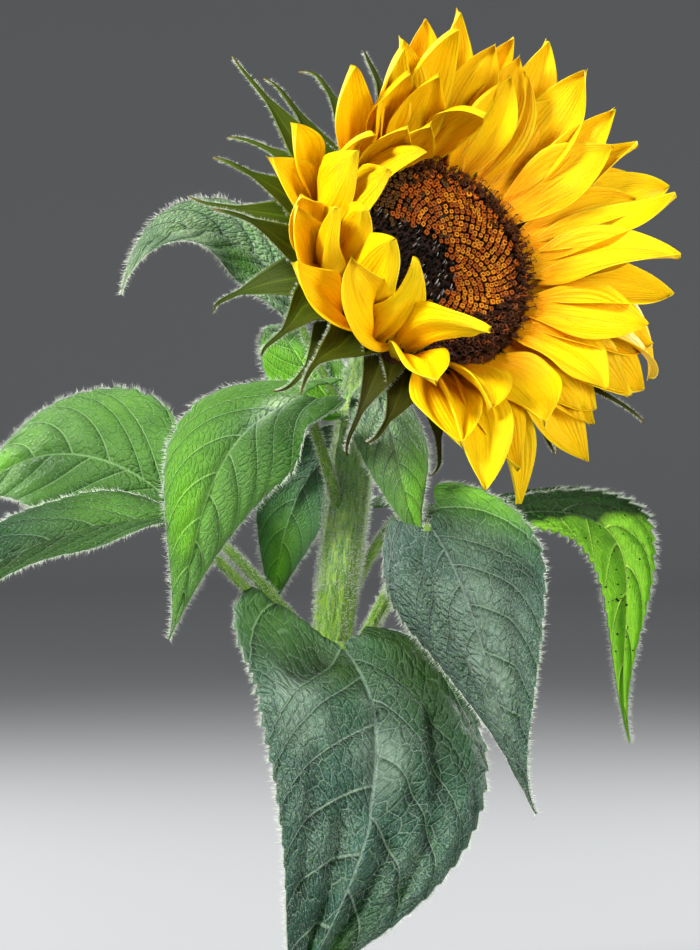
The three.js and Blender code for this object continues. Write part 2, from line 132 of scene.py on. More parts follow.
# Petals that stand among the others and fill the rows.
INNER_PETALS = [
    (1, -117, 18, 76, 22, 50, 22, -16),
    (1, 188, -40, 58, 82, 56, 20, -35),
    (0, 188, -62, 53, 55, 48, 20, 26),
    (2, 141, 4, 94, 106, 53, 22, -16),
    (2, 131, -32, 96, 90, 54, 20, 42),
    (0, 107, 2, 69, 51, 56, 22, -18),
    (1, -12, 0, 40, 0, 60, 24, 10),
    (1, 60, 4, 44, 50, 54, 22, 8),
    (2, 12, 6, 34, 18, 52, 22, -12),
    (2, -2, 0, 38, 16, 48, 22, 12),
    (2, 62, 4, 56, 50, 46, 22, -10),
    (1, -38, 4, 28, -20, 52, 26, 10),
    (0, -32, 2, 24, -20, 58, 26, -10),
    (2, -40, -6, 36, -10, 44, 26, 8),
    (2, -25, 8, 42, 6, 48, 24, -14),
    (1, -48, -8, 24, -24, 44, 26, 6),
    (1, -84, 4, 40, -10, 52, 24, 8),
    (0, -57, 2, 22, -30, 52, 24, -8),
    (2, 28, -6, 40, 26, 52, 24, 14),
    (1, 18, 4, 34, 6, 60, 24, -12),
    (2, 96, -6, 66, 78, 46, 22, 14),
    (1, 72, -6, 46, 60, 56, 22, 14),
    (2, 54, 8, 44, 22, 50, 24, 22),
    (1, 100, 4, 58, 56, 54, 22, -10),
    (0, 88, 6, 44, 44, 58, 20, 16),
]

# Each bract: row, angle round the head, sideways lean, rise at foot and tip, length.
BRACTS = [
    (0, 4, 6, 18, -34, 56), (1, 22, 0, 26, -24, 52), (0, 42, -6, 20, -28, 54),
    (1, 60, 8, 24, -24, 54), (0, 76, 0, 20, -30, 54), (1, 93, 8, 38, -26, 58),
    (1, 114, -8, 48, -36, 56), (0, 122, -8, 14, -8, 64), (1, 130, -11, 8, 0, 70),
    (0, 136, 8, 18, -28, 58), (1, 152, -2, 20, -10, 52), (0, 158, 8, 28, -38, 64),
    (1, 175, -28, 30, -12, 52), (0, 182, -8, 8, -95, 58), (1, 197, 34, 26, -38, 44),
    (0, 210, 28, 24, -46, 50), (1, 219, 5, 36, 0, 52), (0, 237, 8, 46, -56, 60),
    (1, 250, -26, 30, -30, 44), (0, 267, 18, 6, -42, 48), (1, 302, 6, 6, -24, 49),
    (0, 310, 10, 7, -43, 62), (1, 317, 9, 2, -38, 48), (0, 320, 18, 9, -5, 78),
    (0, 334, 0, 20, -30, 52), (1, 348, -8, 24, -20, 54),
]

# Leaves. foot is where stalk and blade meet, node the height where the stalk leaves the stem, bow how
# far it arches, stalk its radius there. bearing and pitch are at foot, on the way and at the tip; face
# is where the upper side looks to, at foot and tip. folds are dents and ridges along a line on the
# blade: from (along, across) to (along, across), reach, height. tints are the main colour and patches
# of others: colour, place along and across the blade, and reach; the colour dark is painted shade.
# turned is the colour of the under side past a place along the blade, a bright glow painted as if
# lit through from behind, and the slant of its edge. down is how thick the hairs stand.
LEAVES = {
    "front": dict(
        node=118, foot=(13, -42, 188), bow=12, stalk=3.4, length=165, width=96, bearing=(-54, -90, -300),
        pitch=(-32, -98, -42), face=((-60, 20), (-86, -12)), lobes=(0.27, 0.05), fold=0.1, cup=-0.12,
        ripple=3,
        folds=[
            (0.5, 0, 0.86, 0, 4.5, 4.6), (0.52, -0.26, 0.85, -0.22, 5, -4.0),
            (0.42, 0.3, 0.75, 0.3, 5.5, -4.4), (0.24, 0.5, 0.4, 0.56, 4, -4.8),
            (0.46, 0.6, 0.6, 0.66, 4, -4.0), (0.28, 0.78, 0.6, 0.8, 4, 2.4),
            (0.06, -0.3, 0.16, -0.6, 7, -6), (0.22, -0.1, 0.3, -0.9, 5, 3.2),
            (0.04, 0.25, 0.16, 0.9, 5, 4.0), (0.4, -0.5, 0.7, -0.7, 5, -2.8),
            (0.34, 0.16, 0.62, 0.5, 4, 2.6), (0.3, -0.5, 0.5, -0.4, 4, 2.2),
        ],
        tints=("teal", [
            ("dark", 0.08, 0.6, 0.30), ("dark", 0.08, -0.25, 0.12), ("green", 0.02, -0.75, 0.22),
            ("silver", 0.34, 0.05, 0.08), ("silver", 0.3, -0.7, 0.08), ("dark", 0.8, 0.5, 0.15),
        ]),
    ),
    "right_front": dict(
        node=150, foot=(47, -45, 234), bow=14, stalk=3, length=125, width=64, bearing=(-65, -50, -30),
        pitch=(-32, -88, -60), face=((-120, 30), (-155, -10)), lobes=(0.17, 0.17), fold=0, cup=-0.3, ripple=2,
        folds=[
            (0.12, -0.45, 0.6, -0.5, 4, -2.8), (0.3, 0.4, 0.7, 0.5, 4.5, -2.8),
            (0.05, 0.3, 0.35, 0.75, 4.5, -3.0),
        ],
        tints=("teal", [("green", 0.05, 0.6, 0.2), ("lime", 0.1, 1.0, 0.14), ("silver", 0.5, 0.0, 0.28)]),
    ),
    "right_back": dict(
        node=158, foot=(58, 22, 236), bow=14, stalk=3, length=196, width=40, bearing=(4, 80, 118),
        pitch=(15, -22, -119), face=((-86, 100), (90, -15)), lobes=(0.14, 0.14), fold=0.1, cup=-0.1, ripple=2,
        teeth=0.16, down=0.08, turned=("glow", 0.36, -0.1), tints=("dark", [("pale", 1.0, 0.0, 0.12)]),
    ),
    "left_front": dict(
        node=232, foot=(-2, -35, 284), bow=4, stalk=2.6, length=115, width=48, bearing=(-182, -140, -125),
        pitch=(-14, -102, -58), face=((-60, 60), (-45, 5)), lobes=(0.14, 0.14), fold=0.16, cup=-0.3, ripple=2,
        tints=("fresh", [("green", 0.1, 0.5, 0.3), ("pale", 0.1, 0.0, 0.08), ("lime", 0.6, -0.5, 0.2)]),
    ),
    "far_left": dict(
        node=176, foot=(-56, -20, 245), bow=10, stalk=2.8, length=116, width=65, bearing=(165, 140, 146),
        pitch=(40, -8, -52), face=((-118, 16), (-91, 48)), lobes=(0.02, 0.02), fold=0.1, cup=-0.1, ripple=2,
        tints=("fresh", [("green", 0.15, 0.8, 0.3), ("lime", 0.8, -0.3, 0.16), ("green", 0.5, 0.2, 0.2)]),
    ),
    "far_left_low": dict(
        node=168, foot=(-52, -40, 236), bow=8, stalk=2.6, length=123, width=36, bearing=(199, 178, 174),
        pitch=(3, -30, -41), face=((-91, 68), (-82, 24)), lobes=(0.02, 0.02), fold=0.3, cup=0, ripple=3,
        tints=("green", [("fresh", 0.1, -0.3, 0.2), ("dark", 0.55, 0.2, 0.25), ("teal", 0.8, -0.6, 0.3)]),
    ),
    "high_left": dict(
        node=270, foot=(-7, 8, 322), bow=-4, stalk=2.2, length=104, width=31, bearing=(182, 238, 213),
        pitch=(64, 12, -80), face=((-56, 16), (-128, 17)), lobes=(0.08, 0.08), fold=0.2, cup=0, ripple=1,
        tints=("pale", [("fresh", 0.3, 0.5, 0.25)]),
    ),
    "neck_left": dict(
        foot=(13, 1, 279), length=72, width=36, bearing=(160, 125, 85), pitch=(42, 70, -24),
        face=((-64, 27), (-111, 66)), lobes=(0.02, 0.02), fold=0.1, cup=-0.2, ripple=1,
        tints=("lime", [("pale", 1.0, 0.0, 0.3)]),
    ),
    "neck_right": dict(
        foot=(26, -6, 288), length=72, width=33, bearing=(-64, -60, -20), pitch=(-40, -94, -56),
        face=((-58, 30), (-75, 9)), lobes=(0.04, 0.04), fold=0.1, cup=-0.2, ripple=1,
        tints=("fresh", [("pale", 0.2, -0.4, 0.3), ("lime", 0.8, 0.5, 0.3)]),
    ),
    "back_left": dict(
        node=200, foot=(8, 30, 264), bow=6, stalk=2.8, length=78, width=32, bearing=(155, 160, 170),
        pitch=(-36, -98, -72), face=((100, 40), (60, 0)), lobes=(0.16, 0.16), fold=0.1, cup=-0.1, ripple=2,
        tints=("teal", [("lime", 0.8, 0.0, 0.4)]),
    ),
    "back_right": dict(
        node=190, foot=(40, 50, 240), bow=12, stalk=2.8, length=84, width=50, bearing=(40, 50, 60),
        pitch=(10, -50, -92), face=((-120, 60), (60, 50)), lobes=(0.16, 0.16), fold=0.12, cup=-0.1, ripple=2,
        tints=("green", [("teal", 0.6, 0.4, 0.4)]),
    ),
    "back_low": dict(
        node=106, foot=(20, 54, 166), bow=12, stalk=3, length=122, width=74, bearing=(100, 92, 84),
        pitch=(10, -62, -88), face=((90, 80), (88, 8)), lobes=(0.18, 0.18), fold=0.1, cup=-0.1, ripple=2.5,
        tints=("teal", [("green", 0.1, 0.3, 0.4)]),
    ),
}


# The rule by which the plant grows
def heading(bearing, pitch):
    """The unit vector at a bearing and a pitch, in degrees."""
    b, p = np.radians(bearing), np.radians(pitch)
    return np.stack([np.cos(p) * np.cos(b), np.cos(p) * np.sin(b), np.sin(p) + 0 * b], -1)


def eased(values, t):
    """A value that runs from the first to the third and bends towards the second on its way."""
    a, b, c = values
    return a * (1 - t) ** 2 + 2 * b * t * (1 - t) + c * t * t


def unit(v):
    """Vectors made one long."""
    return v / np.linalg.norm(v, axis=-1, keepdims=True)


def grow_rib(foot, length, bearing, pitch, face_at):
    """A rib grown from its foot: points, directions and upper sides at its stations."""
    t = np.arange(RIB_STEPS + 1) / RIB_STEPS
    along = heading(eased(bearing, t), eased(pitch, t))
    face = face_at(t, along)
    face = unit(face - along * (face * along).sum(-1, keepdims=True))
    steps = np.vstack([np.zeros(3), np.cumsum(along[:-1], 0)])
    return dict(length=length, at=np.array(foot, float) + steps * length / RIB_STEPS, along=along, face=face)


def rib_at(rib, t):
    """The rib's frame at shares t of its length; past either end it runs straight on."""
    x = np.clip(t, 0, 1 - 1e-9) * RIB_STEPS
    i = np.floor(x).astype(int)
    mix = (x - i)[..., None]
    at, along, face = (rib[k][i] * (1 - mix) + rib[k][i + 1] * mix for k in ("at", "along", "face"))
    along, face = unit(along), unit(face)
    over = np.where(t < 0, t, np.maximum(t - 1, 0))[..., None]
    return at + along * over * rib["length"], along, face


def leaf_outline(t, foot_width):
    """Half width at shares of a leaf's length, as a share of its widest: a round foot, a drawn-out tip."""
    rest = np.clip((t - LEAF_WIDEST) / (1 - LEAF_WIDEST), 0, 1)
    near = foot_width + (1 - foot_width) * (1 - (1 - np.minimum(t / LEAF_WIDEST, 1)) ** 2) ** 0.65
    far = np.maximum(0.5 + 0.5 * np.cos(np.pi * rest), 0) ** 0.8 + 0.015
    return np.where(t < LEAF_WIDEST, near, far)


def petal_outline(t):
    """The same for a petal: a narrow foot and a pointed arch."""
    rest = np.clip((t - PETAL_WIDEST) / (1 - PETAL_WIDEST), 0, 1)
    near = 0.36 + 0.64 * np.sin(np.pi / 2 * np.clip(t / PETAL_WIDEST, 0, 1)) ** 1.2
    return np.where(t < PETAL_WIDEST, near, (1 - rest ** 2.1) + 0.012)


def bract_outline(t):
    """A broad foot that narrows to a long thin tail."""
    body = np.clip(1 - (t / 0.66) ** 2.2, 0, 1) ** 0.9
    tail = 0.26 * (1 - t) ** 0.8 + 0.025
    return body * 1.3 * (1 - np.clip(t / 0.95, 0, 1)) + tail


def blade_point(rib, form, t, s, lift, half_scale=1.0):
    """Points of a blade; t runs from foot to tip and s from one margin at -1 to the other at 1."""
    lobe = np.where(s < 0, form["lobes"][0], form["lobes"][1])
    round_lobe = s * s * (1.5 - 0.5 * s ** 4)
    reach = t - lobe * round_lobe * (1 - t) ** 3
    at, along, face = rib_at(rib, reach)
    side = np.cross(face, along)
    half = 0.5 * form["width"] * form["outline"](np.clip(t, 0, 1)) * half_scale
    phase = 2 * np.pi * RIPPLE_WAVES * t + np.where(s > 0, np.pi / 2, 0)
    wave = form["ripple"] * np.sin(phase) * s * s * np.minimum(RIPPLE_START * t, 1) * (1 - t)
    rise = half * (form["fold"] * np.abs(s) + form["cup"] * s * s) + wave
    spread = (half * s / math.hypot(1, form["fold"]))[..., None]
    return at + side * spread + face * (rise + lift)[..., None], along, side, face


def leaf_rib(leaf):
    """The midrib of a leaf, with the way its upper side looks."""
    foot, tip = (heading(float(b), float(p)) for b, p in leaf["face"])
    return grow_rib(
        leaf["foot"], leaf["length"], leaf["bearing"], leaf["pitch"],
        lambda t, along: foot + (tip - foot) * t[:, None],
    )


def turned_about(v, axis, angle):
    """Vectors v turned about unit axes by angles in radians."""
    c, s = np.cos(angle)[..., None], np.sin(angle)[..., None]
    return v * c + np.cross(axis, v) * s + axis * (axis * v).sum(-1, keepdims=True) * (1 - c)


def head_rib(angle, lean, rise, roll, ring, length):
    """The rib of a blade that stands round the head, in the head's own frame."""
    radius, height = ring
    foot = heading(float(angle), 0.0) * radius
    foot[2] = height
    bearing = (angle, angle + lean / 2, angle + lean)
    pitch = (rise[0], (rise[0] + rise[1]) / 2, rise[1])

    def face_at(t, along):
        face = heading(eased(bearing, t), eased(pitch, t) + 90)
        return turned_about(face, along, -np.radians(roll * t))

    return grow_rib(foot, length, bearing, pitch, face_at)


HEAD_AXIS = heading(HEAD_BEARING, HEAD_PITCH)
HEAD_RIGHT = unit(np.cross([0.0, 0.0, 1.0], HEAD_AXIS))
HEAD_UP = np.cross(HEAD_AXIS, HEAD_RIGHT)
HEAD_BASIS = np.array([HEAD_RIGHT, HEAD_UP, HEAD_AXIS])


def from_head(points):
    """Points in the head's own frame, carried to the plant's frame."""
    return HEAD_CENTRE + points @ HEAD_BASIS


def centripetal_curve(points):
    """A smooth curve through points: its own points and tangents at shares of its length."""
    p = np.array(points, float)
    p = np.vstack([2 * p[0] - p[1], p, 2 * p[-1] - p[-2]])
    knots = [0.0]
    for a, b in zip(p[:-1], p[1:]):
        knots.append(knots[-1] + math.sqrt(np.linalg.norm(b - a)))
    line = []
    for k in range(1, len(p) - 2):
        t0, t1, t2, t3 = knots[k - 1:k + 3]
        t = np.linspace(t1, t2, 41)[:-1, None]
        a1 = (t1 - t) / (t1 - t0) * p[k - 1] + (t - t0) / (t1 - t0) * p[k]
        a2 = (t2 - t) / (t2 - t1) * p[k] + (t - t1) / (t2 - t1) * p[k + 1]
        a3 = (t3 - t) / (t3 - t2) * p[k + 1] + (t - t2) / (t3 - t2) * p[k + 2]
        b1 = (t2 - t) / (t2 - t0) * a1 + (t - t0) / (t2 - t0) * a2
        b2 = (t3 - t) / (t3 - t1) * a2 + (t - t1) / (t3 - t1) * a3
        line.append((t2 - t) / (t2 - t1) * b1 + (t - t1) / (t2 - t1) * b2)
    line.append(p[-2:-1])
    return np.vstack(line)


def line_run(line):
    """The way along a polyline at each of its points."""
    return np.concatenate([[0], np.cumsum(np.linalg.norm(np.diff(line, axis=0), axis=1))])


def line_size(line):
    """Length of a polyline."""
    return np.linalg.norm(np.diff(line, axis=0), axis=1).sum()


def resampled(line, t):
    """Points and tangents of a fine polyline at shares t of its length."""
    run = line_run(line)
    run /= run[-1]

    def point_at(share):
        return np.stack([np.interp(share, run, line[:, k]) for k in range(3)], -1)

    ahead, behind = point_at(np.minimum(t + TANGENT_STEP, 1)), point_at(np.maximum(t - TANGENT_STEP, 0))
    return point_at(t), unit(ahead - behind)


NECK_END = HEAD_CENTRE + HEAD_AXIS * (-BACK_DEPTH - GAP)
STEM_LINE = centripetal_curve([*STEM_ROUTE, NECK_END - HEAD_AXIS * NECK_RUN, NECK_END])
STALKED = {name: leaf for name, leaf in LEAVES.items() if "stalk" in leaf}


def stem_radius(t):
    """Radius of the stem at shares of its length."""
    return np.interp(t, [share for share, _ in STEM_RADII], [radius for _, radius in STEM_RADII])


def stalk_line(leaf):
    """The line of a leaf's stalk, from the stem's axis to the blade's foot."""
    k = int(np.argmax(STEM_LINE[:, 2] >= leaf["node"]))
    node, foot = STEM_LINE[k], np.array(leaf["foot"], float)
    middle = node + (foot - node) * STALK_BEND + np.array([0, 0, leaf["bow"]])
    t = np.linspace(0, 1, 81)[:, None]
    return node * (1 - t) ** 2 + 2 * middle * t * (1 - t) + foot * t * t


# Mesh making
def grid_quads(rows, cols):
    """Quads of a grid of points, facing the upper side of a blade."""
    i, j = np.meshgrid(np.arange(rows), np.arange(cols), indexing="ij")
    a = i * (cols + 1) + j
    return np.stack([a, a + cols + 1, a + cols + 2, a + 1], -1).reshape(-1, 4)


def shell_quads(rows, cols):
    """Quads of a closed thin shell: upper grid, lower grid and the rim between them."""
    count = (rows + 1) * (cols + 1)
    upper = grid_quads(rows, cols)
    lower = upper[:, ::-1] + count
    up = np.arange(rows + 1) * (cols + 1)
    across = rows * (cols + 1) + np.arange(cols + 1)
    loop = np.concatenate([up[:-1], across[:-1], (up + cols)[::-1][:-1], np.arange(cols + 1)[::-1]])
    a, b = loop[:-1], loop[1:]
    rim = np.stack([b, a, a + count, b + count], -1)
    return np.vstack([upper, lower, rim])


def tube_faces(rings, sides):
    """Faces of a closed tube of rings, with a fan at each end round two added middle points."""
    i, j = np.meshgrid(np.arange(rings - 1), np.arange(sides), indexing="ij")
    a = i * sides + j
    b = i * sides + (j + 1) % sides
    walls = np.stack([a, b, b + sides, a + sides], -1).reshape(-1, 4)
    k = np.arange(sides)
    first, last = rings * sides, rings * sides + 1
    low = np.stack([np.full(sides, first), (k + 1) % sides, k, np.full(sides, -1)], -1)
    top = (rings - 1) * sides
    high = np.stack([np.full(sides, last), top + k, top + (k + 1) % sides, np.full(sides, -1)], -1)
    return np.vstack([walls, low, high])


class Shape:
    """Points, faces and what the material reads at each point, gathered for one piece."""

    def __init__(self):
        self.points, self.faces, self.tints, self.places = [], [], [], []
        self.unders, self.blooms = [], []
        self.count = 0

    def add(self, points, faces, tint=(1, 1, 1), place=None, under=0.0, bloom=1.0):
        """Adds points and faces; a fourth corner of -1 says that a face is a triangle."""
        n = len(points)
        self.points.append(np.asarray(points, float))
        self.faces.append(np.where(faces < 0, -1, faces + self.count))
        self.tints.append(np.broadcast_to(np.asarray(tint, float), (n, 3)))
        self.places.append(np.zeros((n, 2)) if place is None else place)
        self.unders.append(np.broadcast_to(np.asarray(under, float), (n,)))
        self.blooms.append(np.broadcast_to(np.asarray(bloom, float), (n,)))
        self.count += n
        return self

    def piece(self, name, material, slot, replaced=()):
        """One object of all that was gathered, riding on the plant and replacing its solids."""
        points = np.vstack(self.points) * MM
        faces = [f if f.shape[1] == 4 else np.hstack([f, np.full((len(f), 1), -1)]) for f in self.faces]
        faces = np.vstack(faces)
        sizes = np.where(faces[:, 3] < 0, 3, 4)
        corners = faces.reshape(-1)[faces.reshape(-1) >= 0]
        mesh = bpy.data.meshes.new(name)
        mesh.vertices.add(len(points))
        mesh.vertices.foreach_set("co", points.astype(np.float32).ravel())
        mesh.loops.add(len(corners))
        mesh.loops.foreach_set("vertex_index", corners.astype(np.int32))
        mesh.polygons.add(len(sizes))
        starts = np.concatenate([[0], np.cumsum(sizes)[:-1]])
        mesh.polygons.foreach_set("loop_start", starts.astype(np.int32))
        mesh.polygons.foreach_set("use_smooth", np.full(len(sizes), True))
        mesh.update(calc_edges=True)
        tint = mesh.attributes.new("tint", "FLOAT_COLOR", "POINT")
        tints = np.hstack([np.vstack(self.tints), np.ones((len(points), 1))])
        tint.data.foreach_set("color", tints.astype(np.float32).ravel())
        for key, values in (("under", self.unders), ("bloom", self.blooms)):
            share = mesh.attributes.new(key, "FLOAT", "POINT")
            share.data.foreach_set("value", np.concatenate(values).astype(np.float32))
        layer = mesh.uv_layers.new(name="blade")
        places = np.vstack(self.places)[corners]
        layer.data.foreach_set("uv", places.astype(np.float32).ravel())
        mesh.materials.append(material)
        if mesh.validate():
            raise RuntimeError(f"{name} has faces that Blender had to mend")
        thing = bpy.data.objects.new(name, mesh)
        bpy.context.scene.collection.objects.link(thing)
        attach(thing, BODY)
        if replaced:
            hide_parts(*replaced)
        return thing


def blade_shell(point_at, rows, cols):
    """A closed thin blade: its points, quads, places and which side each point is on."""
    t, s = np.meshgrid(np.linspace(0, 1, rows + 1), np.linspace(-1, 1, cols + 1), indexing="ij")
    upper, lower = point_at(t, s, 1), point_at(t, s, -1)
    points = np.vstack([upper.reshape(-1, 3), lower.reshape(-1, 3)])
    place = np.stack([s.ravel(), t.ravel()], -1)
    under = np.repeat([0.0, 1.0], t.size)
    return points, shell_quads(rows, cols), np.vstack([place, place]), under


def round_angles(sides):
    """Even angles all round."""
    return np.arange(sides) / sides * 2 * np.pi


def ring_template(rings, sides, rib_rise=0.0, ribs=4):
    """A closed turned form from (radius, height) rings, ribbed from end to end, as points and faces."""
    angle = round_angles(sides)
    points = []
    for radius, height in rings[:-1]:
        r = radius * (1 + rib_rise * np.cos(ribs * angle))
        points.append(np.stack([r * np.cos(angle), r * np.sin(angle), np.full(sides, height)], -1))
    points = np.vstack([*points, [[0, 0, rings[0][1]], [0, 0, rings[-1][1]]]])
    return points, tube_faces(len(rings) - 1, sides)


def ring_levels(levels, sides):
    """How light each point of a turned template is painted, from one value for each of its rings."""
    return np.concatenate([np.repeat(levels[:-1], sides), [levels[0], levels[-1]]])[None, :, None]


def placed_copies(template, bases, frames, scales, tints, carry=from_head):
    """A shape of copies of a template: bases (n,3), frames (n,3,3), scales (n,3), tints (n,v,3)."""
    points, faces = template
    placed = bases[:, None] + np.einsum("nvk,nkj->nvj", points[None] * scales[:, None], frames)
    n, v = placed.shape[:2]
    every = (np.arange(n) * v)[:, None, None]
    copied = np.where(faces[None] < 0, -1, faces[None] + every).reshape(-1, faces.shape[1])
    return Shape().add(carry(placed.reshape(-1, 3)), copied, tints.reshape(-1, 3))


# Relief of the leaves

# Side veins on each half, how far and how bent they sweep forward, and how they crowd towards the tip
# and in the lobes.
LATERALS = 6.5
LATERAL_SWEEP = 0.42
LATERAL_CURVE = 1.25
LATERAL_CROWD = 0.85
LOBE_CROWD = 0.4
# Width of a puckered cell, and length of a leaf that has the full vein relief.
CELL = 4.6
LEAF_OF_FULL_RELIEF = 115.0
# Height of ridges, of cells and of the swell of the whole blade, and depth of the midrib's furrow.
RIDGE_RISE = 1.15
CELL_RISE = 0.45
SWELL_RISE = 1.5
MIDRIB_DEPTH = 0.8
# How far the midrib stands out below, and over what share of the width.
UNDER_RIB_RISE = 1.3
UNDER_RIB_WIDTH = 0.2
# Length of margin for each tooth, the fewest teeth, and their usual depth as a share of the half width.
TOOTH_SPACING = 7
FEWEST_TEETH = 6
TOOTH_DEPTH = 0.045
# Painted light and shade on the folds: how much lighter a fold's colour is painted for each millimetre that
# it rises, and darker where it dips.
FOLD_SHADE = 0.11
# Silvery bloom for each share of blue in a leaf's green, and the least of it.
BLOOM_OF_BLUE = 1.6
LEAST_BLOOM = 0.06


def vein_phase(t, s):
    """Counts the side veins at a place on a leaf; a vein runs where it is a whole number."""
    sweep = LATERAL_SWEEP * np.abs(s) ** LATERAL_CURVE
    root = (t - sweep) / (1 - sweep + 1e-6)
    count = np.where(root > 0, np.abs(root) ** LATERAL_CROWD, -np.abs(root) * LOBE_CROWD)
    return LATERALS * count + np.where(s > 0, 0.5, 0.0)


def quilting(leaf, t, s):
    """Soft puckered cells all over a blade, from 0 along their seams to 1 in their middles."""
    x, y = s * leaf["width"] / 2, t * leaf["length"]
    x = x + 0.9 * np.sin(y / 3.1 + 1.3) + 0.6 * np.sin(y / 1.9 + x / 4.3)
    y = y + 1.1 * np.sin(x / 2.9) + 0.7 * np.sin(x / 1.7 + y / 5.1)
    one, other = np.pi * (x + 0.6 * y) / CELL, np.pi * (x - 0.8 * y) / CELL
    return np.sqrt(np.abs(np.sin(one) * np.sin(other)))


def leaf_relief(leaf, t, s):
    """Height of the blade's skin over its mean: ridges between the side veins, cells and furrows."""
    phase = vein_phase(t, s)
    a = np.abs(s)
    turn = phase - np.floor(phase)
    off = np.minimum(turn, 1 - turn)
    fade = np.clip(a * 6, 0, 1) * (1 - a ** 8) * (1 - t ** 6)
    ridge = 1.9 * turn ** 0.55 * (1 - turn) ** 0.95
    rib = np.exp(-((s / 0.05) ** 2)) * (1 - 0.6 * t)
    cells = quilting(leaf, t, s) * np.minimum(4 * off, 1)
    return fade * (RIDGE_RISE * ridge + CELL_RISE * cells) - MIDRIB_DEPTH * rib


def leaf_folds(leaf, t, s):
    """Height added by a leaf's own folds and dents, each along a line on the blade."""
    x, y = s * leaf["width"] / 2, t * leaf["length"]
    total = 0.0 * t
    for t0, s0, t1, s1, reach, height in leaf.get("folds", ()):
        x0, y0 = s0 * leaf["width"] / 2, t0 * leaf["length"]
        run_x, run_y = s1 * leaf["width"] / 2 - x0, t1 * leaf["length"] - y0
        along = ((x - x0) * run_x + (y - y0) * run_y) / (run_x ** 2 + run_y ** 2)
        along = np.clip(along, 0, 1)
        gap = np.hypot(x - x0 - along * run_x, y - y0 - along * run_y) / reach
        total = total + height * np.exp(-gap ** 2)
    return total


def make_leaf_point(leaf, vein_depth):
    """A function that places points on either side of a leaf."""
    rib = leaf_rib(leaf)
    foot_width = BROAD_FOOT if max(leaf["lobes"]) > LOBED_FROM else NARROW_FOOT
    form = {**leaf, "outline": partial(leaf_outline, foot_width=foot_width)}
    teeth = max(FEWEST_TEETH, round(leaf["length"] / TOOTH_SPACING))

    def point_at(t, s, side):
        a = np.abs(s)
        tooth = (t * teeth + 0.3 * (s > 0)) % 1.0
        trim = 1 - leaf.get("teeth", TOOTH_DEPTH) * (1 - tooth) * a ** 6 * (1 - t ** 3)
        wave = np.sin(2 * np.pi * (1.3 * t + 0.35 * s))
        swell = SWELL_RISE * wave * np.minimum(4 * t, 1) * (1 - t) * a
        relief = leaf_relief(leaf, t, s) * vein_depth * leaf["length"] / LEAF_OF_FULL_RELIEF
        lift = relief + swell + leaf_folds(leaf, t, s) + side * LEAF_HALF
        if side < 0:
            lift = lift - UNDER_RIB_RISE * np.exp(-((s * leaf["width"] * UNDER_RIB_WIDTH) ** 2)) * (1 - t)
        return blade_point(rib, form, t, s, lift, trim)[0]

    return point_at, rib, form


def leaf_colours(leaf, t, s, under, colours):
    """Colour and silvery bloom of each point of a leaf: its patches, its under side painted bright as if lit
    through, and painted light and shade on its folds.
    """
    main, patches = leaf["tints"]
    colour = np.broadcast_to(np.array(colours[main]), (*t.shape, 3)).copy()
    for name, at_t, at_s, reach in patches:
        away = np.hypot(t - at_t, (s - at_s) * 0.45) / reach
        blend = np.exp(-(away ** 2))[..., None]
        colour = colour * (1 - blend) + np.array(colours[name]) * blend
    # Past a place, the under side is painted a bright glow as if lit through from behind, and the upper side
    # takes a little of it.
    if "turned" in leaf:
        name, start, slant = leaf["turned"]
        past = t - start - slant * s
        below, above = np.clip(past / 0.04, 0, 1), 0.4 * np.clip(past / 0.5, 0, 1)
        blend = np.where(under > 0.5, below, above)[..., None]
        colour = colour * (1 - blend) + np.array(colours[name]) * blend
    bloom = np.clip(BLOOM_OF_BLUE * colour[:, 2] / colour[:, 1], LEAST_BLOOM, 1)
    # Painted light and shade: lighter where a fold rises, darker where it dips.
    shade = np.clip(1 + FOLD_SHADE * leaf_folds(leaf, t, s), 0.4, 1.5)[..., None]
    return colour * shade, bloom


# Materials
class Wire:
    """A node's output that is reckoned with like a number, each step by one more node."""

    def __init__(self, finish, socket):
        self.finish, self.socket = finish, socket

    def __add__(self, other):
        return self.finish.math("ADD", self, other)

    def __sub__(self, other):
        return self.finish.math("SUBTRACT", self, other)

    def __rsub__(self, other):
        return self.finish.math("SUBTRACT", other, self)

    def __mul__(self, other):
        return self.finish.math("MULTIPLY", self, other)

    def __truediv__(self, other):
        return self.finish.math("DIVIDE", self, other)

    def __pow__(self, other):
        return self.finish.math("POWER", self, other)

    def __abs__(self):
        return self.finish.math("ABSOLUTE", self)

    def __gt__(self, other):
        return self.finish.math("GREATER_THAN", self, other)


